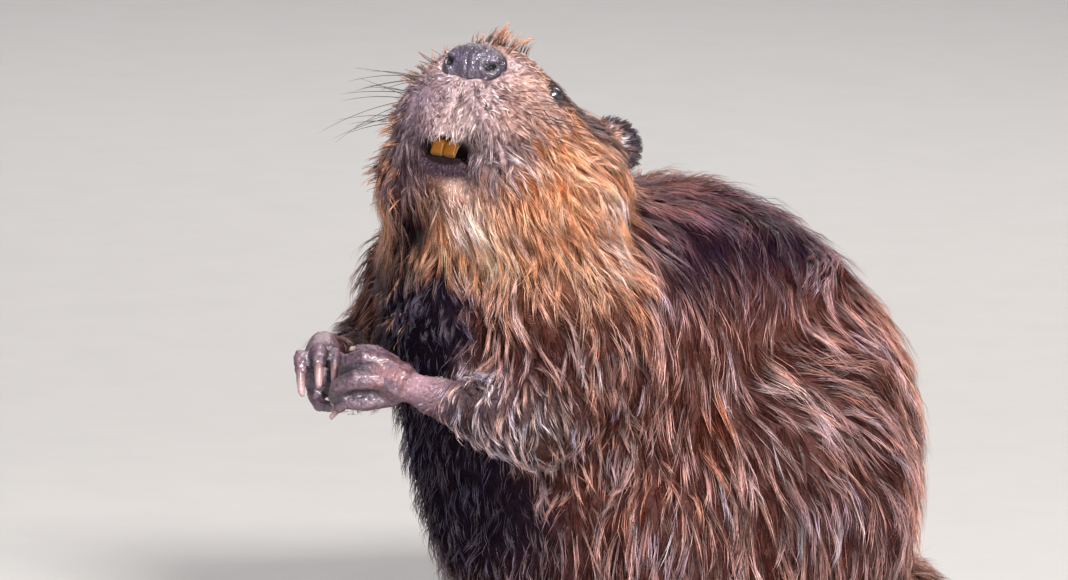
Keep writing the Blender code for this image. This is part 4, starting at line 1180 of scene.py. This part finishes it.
# ---------------------------------------------------------------- eyes, nose, ears, teeth, claws, tail, whiskers
def make_eye(side, mat):
    """An eyeball with a bulging cornea over a dark iris."""
    c, out, ahead, up = eye_frame(side)
    rings, spokes, bulge = 40, 56, 0.45
    polar, turn = np.linspace(0, math.pi, rings + 1)[1:-1], np.arange(spokes) / spokes * 2 * math.pi
    a, b = np.meshgrid(polar, turn, indexing="ij")
    r = EYE_R + bulge * (1 - smooth(a, 0.0, 0.62)) - 0.12 * bell((a - 0.66) / 0.07)
    round_axis = np.cos(b)[..., None] * ahead + np.sin(b)[..., None] * up
    ball = c + r[..., None] * (np.cos(a)[..., None] * out + np.sin(a)[..., None] * round_axis)
    p = np.concatenate([ball.reshape(-1, 3), [c + out * (EYE_R + bulge)], [c - out * EYE_R]])
    faces = []
    for i in range(0, (rings - 2) * spokes, spokes):
        for j in range(spokes):
            k = (j + 1) % spokes
            faces += [(i + j, i + spokes + j, i + spokes + k), (i + j, i + spokes + k, i + k)]
    top, bottom, last = len(p) - 2, len(p) - 1, (rings - 2) * spokes
    for j in range(spokes):
        k = (j + 1) % spokes
        faces += [(top, j, k), (bottom, last + k, last + j)]
    ob = mesh_object("eye_detail_" + side, p, np.array(faces)[:, ::SIDES[side]])
    angle = np.concatenate([a.ravel(), [0], [math.pi]])
    col = mix([0.008, 0.010, 0.018], [0.022, 0.020, 0.030], smooth(angle, 0.24, 0.36)[:, None])
    col = mix(col, [0.012, 0.008, 0.008], smooth(angle, 0.56, 0.66))
    painted(ob, mix(col, [0.10, 0.06, 0.05], smooth(angle, 0.80, 0.95)), mat)
    placed(ob, "eye", "eye_" + side)


def eyes():
    m, nt, b = toned("eye", 0.24, 0.5, (0.6, 3), [(0.3, 0.6), (0.7, 1.4)], Coat_Weight=0.2, Coat_Roughness=0.16)
    bumped(nt, b, place_noise(nt, 2.5, 2), 0.02, 0.1)
    for side in SIDES:
        make_eye(side, m)


def detailed(name, nodes, swell, voxel, rounds):
    """These CAD nodes as one finer, relaxed piece, with its points and edges."""
    ob = remeshed(joined(name, nodes, swell), voxel)
    edges = edges_of(ob)
    p = relaxed(points_of(ob), edges, rounds)
    set_points(ob, p)
    return ob, p, edges


def make_nose():
    ob, p, edges = detailed("nose_detail", ["nose_pad"], 0.45, 0.7, 8)
    n = unit(relaxed(normals_of(ob), edges, 2))
    _, l, u = head_coords(p)
    front = smooth(n @ F, 0.1, 0.5)
    al = abs(l)
    # the comma-shaped nostrils: a round mouth and a slit that curls out and up
    a, b = (al - 13.2) / 3.0, (u + 3.4) / 2.5
    hole, rim = bell(a, b), bell((np.hypot(a, b) - 1.75) / 0.5)
    bend = u - (-2.2 + 0.16 * (al - 14) ** 2 * (al > 14))
    slit = bell(bend / 1.25) * smooth(al, 12.5, 15) * (1 - smooth(al, 19.5, 22))
    p = p - F * (3.4 * hole * front)[:, None] + n * ((0.3 * rim - 1.5 * slit) * front)[:, None]
    # groove down the middle and pebbled hide
    p = p - n * (0.75 * bell(l / 1.1) * smooth(-u, -3, 4))[:, None]
    p = p + n * (0.20 * wobble(p, 3.4, 71) + 0.14 * wobble(p, 2.2, 72))[:, None]
    set_points(ob, p)
    inside = np.clip(np.maximum(hole * 1.5, slit * 1.1), 0, 1) * front
    col = np.array([0.040, 0.029, 0.051]) * np.exp(0.45 * wobble(p, 9, 73) + 0.35 * wobble(p, 2.6, 74))[:, None]
    col = mix(col, [0.15, 0.118, 0.142], 0.4 * smooth(-u, 4, 13))
    # painted shade: darker towards the sides of the pad
    col = col * (1 - 0.55 * smooth(al, 11, 18))[:, None]
    m, nt, bsdf = toned("nose", 0.34, 0.95, (1.3, 5, 0.7), [(0.32, 0.35), (0.68, 1.9)])
    bumped(nt, bsdf, pebbles(nt, 1.7), 1.0, 0.8)
    # painted shade: the nostrils near black inside
    painted(ob, mix(col, [0.008, 0.006, 0.008], smooth(inside, 0.35, 0.8)), m)
    placed(ob, "nose_skin", "nose_pad")


EAR_UP, EAR_FACE = unit([-0.245, 0.52, 0.84]), unit([0.72, 0.665, -0.2])
# patches on the ear's inner side: height and place across (mm), radius, under colour, guard colour
EAR_PATCHES = (
    (5, -5, 7, (0.40, 0.15, 0.075), (0.95, 0.44, 0.25)),
    (0, 0, 5.5, (0.42, 0.20, 0.14), (1.0, 0.62, 0.48)),
    (10, -10, 3.0, (0.16, 0.11, 0.12), (0.50, 0.38, 0.40)),
    (13.5, -1.0, 2.2, (0.42, 0.38, 0.45), (1.0, 0.96, 1.0)),
)


def make_ear(side):
    s = SIDES[side]
    ob, _, _ = detailed("ear_detail_" + side, ["ear_" + side], 0.25, 0.9, 5)
    surface = Surface(ob)
    p, n = surface.p, surface.n
    up, face = (unit(v[0] * F + v[1] * s * L + v[2] * U) for v in (EAR_UP, EAR_FACE))
    across = np.cross(up, face)
    d = p - beside(EAR_PLACE, s)
    h, a = d @ up, d @ across * s
    # how far out towards the rim: 1 on the rim
    reach = np.sqrt((np.clip(h - 7, 0, None) / 15.5) ** 2 + (a / 14.5) ** 2)
    inner = smooth(n @ face, 0.1, 0.6) * (1 - smooth(reach, 0.56, 0.80))
    under = mix(SOOT * 1.2, [0.035, 0.024, 0.032], inner[:, None])
    guard = mix([0.050, 0.038, 0.045], [0.19, 0.135, 0.17], inner[:, None])
    for ch, ca, r, u_col, g_col in EAR_PATCHES:
        share = np.clip(1.4 * bell((h - ch) / r, (a - ca) / r) * smooth(n @ face, -0.1, 0.3), 0, 1)
        under, guard = mix(under, u_col, share), mix(guard, g_col, share)
    painted(ob, under * 0.9 + guard * 0.12, bpy.data.materials["skin"])
    attribute(ob, "Bare", 0.4 * inner)
    placed(ob, "fur", "ear_" + side)
    flow = unit(up + across * (a * s / 14 + 0.5 * s)[:, None] + 0.25 * n)
    flow = unit(flow - 0.8 * (flow * n).sum(1)[:, None] * n)
    rimmed = smooth(reach, 0.5, 0.95)
    facts = np.array([7.5, 1.4, 1.2, 0.36, 0.5, 0.15, 0, 0, 0.2]) + np.outer(rimmed, [-3.6, 0.2, 0, 0, 0, 0, 0, 0, 0])
    weight = (0.75 + 0.9 * rimmed) * smooth(h, 0, 4)
    fur = hairs("coat_ear_" + side, surface, flow, facts, weight, 3000, 81 + s, (under, guard), bpy.data.materials["face_fur"],
                stand=0.10 + 0.22 * rimmed, slack=0.6, loose=0.3, short=True, low_share=0.25, low_tone=0.5, contrast=1.4)
    placed(fur, "fur")


def make_incisors():
    m, nt, b = toned("enamel", 0.36, 0.22, (1.4, 4, 0.6), [(0.3, 0.78), (0.7, 1.14)])
    bumped(nt, b, place_noise(nt, 1.4, 4, 0.6), 0.12, 0.15)
    for side in SIDES:
        ob, p, _ = detailed("incisor_detail_" + side, ["incisor_" + side], 0.1, 0.42, 5)
        n = normals_of(ob)
        _, l, u = head_coords(p)
        set_points(ob, p + n * (0.045 * np.sin(l * 5.2) + 0.05 * wobble(p, 4, 91))[:, None])
        down = (u.max() - u) / np.ptp(u)
        col = mix([0.088, 0.026, 0.0006], [0.112, 0.038, 0.001], smooth(down, 0.45, 0.95)[:, None])
        col = mix(col, [0.055, 0.020, 0.004], 0.75 * (1 - smooth(down, 0.25, 0.6)))
        painted(ob, mix(col, [0.55, 0.42, 0.26], 1 - smooth(n @ F, -0.5, 0.1)), m)
        placed(ob, "enamel", "incisor_" + side)


def pointed(q):
    """A claw's points drawn in towards its tip, and how far along it each lies: 0 at the root, 1 at the tip."""
    d = q - q.mean(0)
    way = np.linalg.svd(d, full_matrices=False)[2][0]
    t = d @ way
    # the tip is the thinner end
    thick = np.linalg.norm(d - t[:, None] * way, axis=1)
    if thick[t > 0].mean() > thick[t < 0].mean():
        way, t = -way, -t
    long = np.ptp(t)
    t = (t - t.min()) / (long + 1e-9)
    end = np.clip((t - 0.62) / 0.38, 0, 1)
    core = q[t > 0.9].mean(0) - way * (t[t > 0.9].mean() - t)[:, None] * long
    return q - way * (0.42 * 0.38 * long * end ** 1.3)[:, None] + (q - core) * (0.55 * end)[:, None], t


# the claws' colours at the root and at the tip
CLAWS = dict(
    hand_left=((0.07, 0.05, 0.055), (0.30, 0.21, 0.20)),
    hand_right=((0.15, 0.080, 0.085), (0.34, 0.215, 0.225)),
    foot_left=((0.06, 0.045, 0.045), (0.30, 0.22, 0.19)),
    foot_right=((0.06, 0.045, 0.045), (0.30, 0.22, 0.19)),
)


def make_claws():
    m, nt, b = toned("claw_horn", 0.33, 0.5, (1.6, 5, 0.7), [(0.3, 0.72), (0.72, 1.2)], Coat_Weight=0.2, Coat_Roughness=0.25)
    bumped(nt, b, place_noise(nt, 0.9, 4), 0.2, 0.2)
    for limb, (base, tip) in CLAWS.items():
        names = [f"claw_{limb}_{k}" for k in range(1, 6)]
        ob, p, _ = detailed("claws_" + limb, names, 0.6, 0.75, 3)
        which = np.argmin([far(p, (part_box(n)[0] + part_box(n)[1]) / 2 / MM) for n in names], axis=0)
        along = np.zeros(len(p))
        for k in range(5):
            mine = which == k
            p[mine], along[mine] = pointed(p[mine])
        set_points(ob, p)
        painted(ob, mix(base, tip, smooth(along, 0.1, 0.75)[:, None]), m)
        placed(ob, "claw_horn", *names)


def make_tail():
    ob, p, edges = detailed("tail_detail", ["tail_blade"], 0.1, 1.25, 10)
    n = unit(relaxed(normals_of(ob), edges, 2))
    # staggered rows of scales, each higher at its free rear edge
    start = p[:, 1].min()
    row = (p[:, 1] - start) / 5.6
    column = p[:, 0] / 4.6 + 0.5 * (np.floor(row) % 2)
    fy, fx = row % 1, abs(column % 1 - 0.5) * 2
    scale = (1 - fx ** 4) * (0.35 + 0.65 * smooth(fy, 0.0, 0.75)) * (1 - smooth(fy, 0.86, 1.0))
    clear = smooth(p[:, 1], start + 8, start + 24)
    raised = clear * smooth(p[:, 2], 0.8, 2.5)
    p = p + n * ((0.62 * scale - 0.3) * raised)[:, None]
    p = p + n * (0.5 * wobble(p, 40, 95) * raised)[:, None]
    set_points(ob, p)
    tone = np.array([0.075, 0.060, 0.062]) * ((0.45 + 0.75 * scale) * (1 + 0.2 * wobble(p, 30, 96)))[:, None]
    m, nt, b = toned("tail_hide", 0.5, 0.45, (2.5, 5, 0.7), [(0.3, 0.7), (0.7, 1.35)])
    bumped(nt, b, place_noise(nt, 1.2, 5, 0.7), 0.4, 0.4)
    painted(ob, mix(tone, UMBER * 0.8, 1 - clear), m)
    placed(ob, "scaly_skin", "tail_blade")


def bristle(path, root_width, sides=5):
    """Points and faces of one tapered round bristle along path."""
    path = np.asarray(path)
    ahead = unit(np.gradient(path, axis=0))
    ref = unit(np.cross(ahead[0], [0.3, 0.2, 1.0]))
    p, faces, n = [], [], len(path)
    for k in range(n - 1):
        a = unit(ref - (ref @ ahead[k]) * ahead[k])
        b = np.cross(ahead[k], a)
        r = root_width / 2 * (1 - k / (n - 1)) ** 0.8 + 0.03
        for j in range(sides):
            t = 2 * math.pi * j / sides
            p.append(path[k] + r * (math.cos(t) * a + math.sin(t) * b))
    p.append(path[-1])
    for k in range(n - 2):
        for j in range(sides):
            i = (j + 1) % sides
            q = [k * sides + j, k * sides + i, (k + 1) * sides + i, (k + 1) * sides + j]
            faces += [(q[0], q[1], q[2]), (q[0], q[2], q[3])]
    last = (n - 2) * sides
    faces += [(last + j, last + (j + 1) % sides, len(p) - 1) for j in range(sides)]
    faces += [(0, j + 1, j) for j in range(1, sides - 1)]
    return np.array(p), np.array(faces)


WHISKER_ROWS = ((-14, -16, 6), (-20, -24, 7), (-27, -32, 6))  # forward, up from the nose, how many


def make_whiskers():
    rng = np.random.default_rng(7)
    ps, fs, at = [], [], 0
    for s in SIDES.values():
        for f0, u0, many in WHISKER_ROWS:
            for spread in np.linspace(0, 1, many):
                ahead, rise = f0 - 16 * spread + rng.normal(0, 1.2), u0 + 9 * spread + rng.normal(0, 1.5)
                i = nearest(skin_surface.kd, [in_head(ahead, s * (26 + 9 * spread), rise)])[0]
                out = s * L * (0.95 + 0.2 * rng.normal()) - F * (0.30 + 0.35 * spread)
                out = unit(out + U * rng.normal(0.12, 0.16) + 0.35 * N[i])
                length = (36 + 30 * spread) * rng.uniform(0.7, 1.15) * (1.3 if s < 0 else 0.62)
                sag = unit(-F * 0.6 - U * rng.uniform(-0.2, 0.6))
                t = np.linspace(0, 1, 9)[:, None]
                path = P[i] - N[i] * 0.6 + out * length * t + sag * length * 0.16 * t ** 2
                p, f = bristle(path, rng.uniform(0.42, 0.6))
                ps.append(p)
                fs.append(f + at)
                at += len(p)
    ob = mesh_object("whiskers", np.concatenate(ps), np.concatenate(fs))
    ob.data.materials.append(simple("whisker", (0.030, 0.024, 0.026), 0.35, 0.5, 6, 0.35, 0.05))
    placed(ob, "fur")


eyes()
make_nose()
for side in SIDES:
    make_ear(side)
make_incisors()
make_claws()
make_tail()
make_whiskers()

# under the fur the skin needs fewer faces than on the face and the hands
FURRED_SHARE = 0.62
furred = (1 - np.clip(part_weight(W, "hand", "foot") * 2, 0, 1)) * smooth(far(P, NOSE), 95, 110)
skin.vertex_groups.new(name="furred").add(np.flatnonzero(furred > 0.5).tolist(), 1.0, "REPLACE")
applied(skin, "DECIMATE", ratio=FURRED_SHARE, vertex_group="furred")
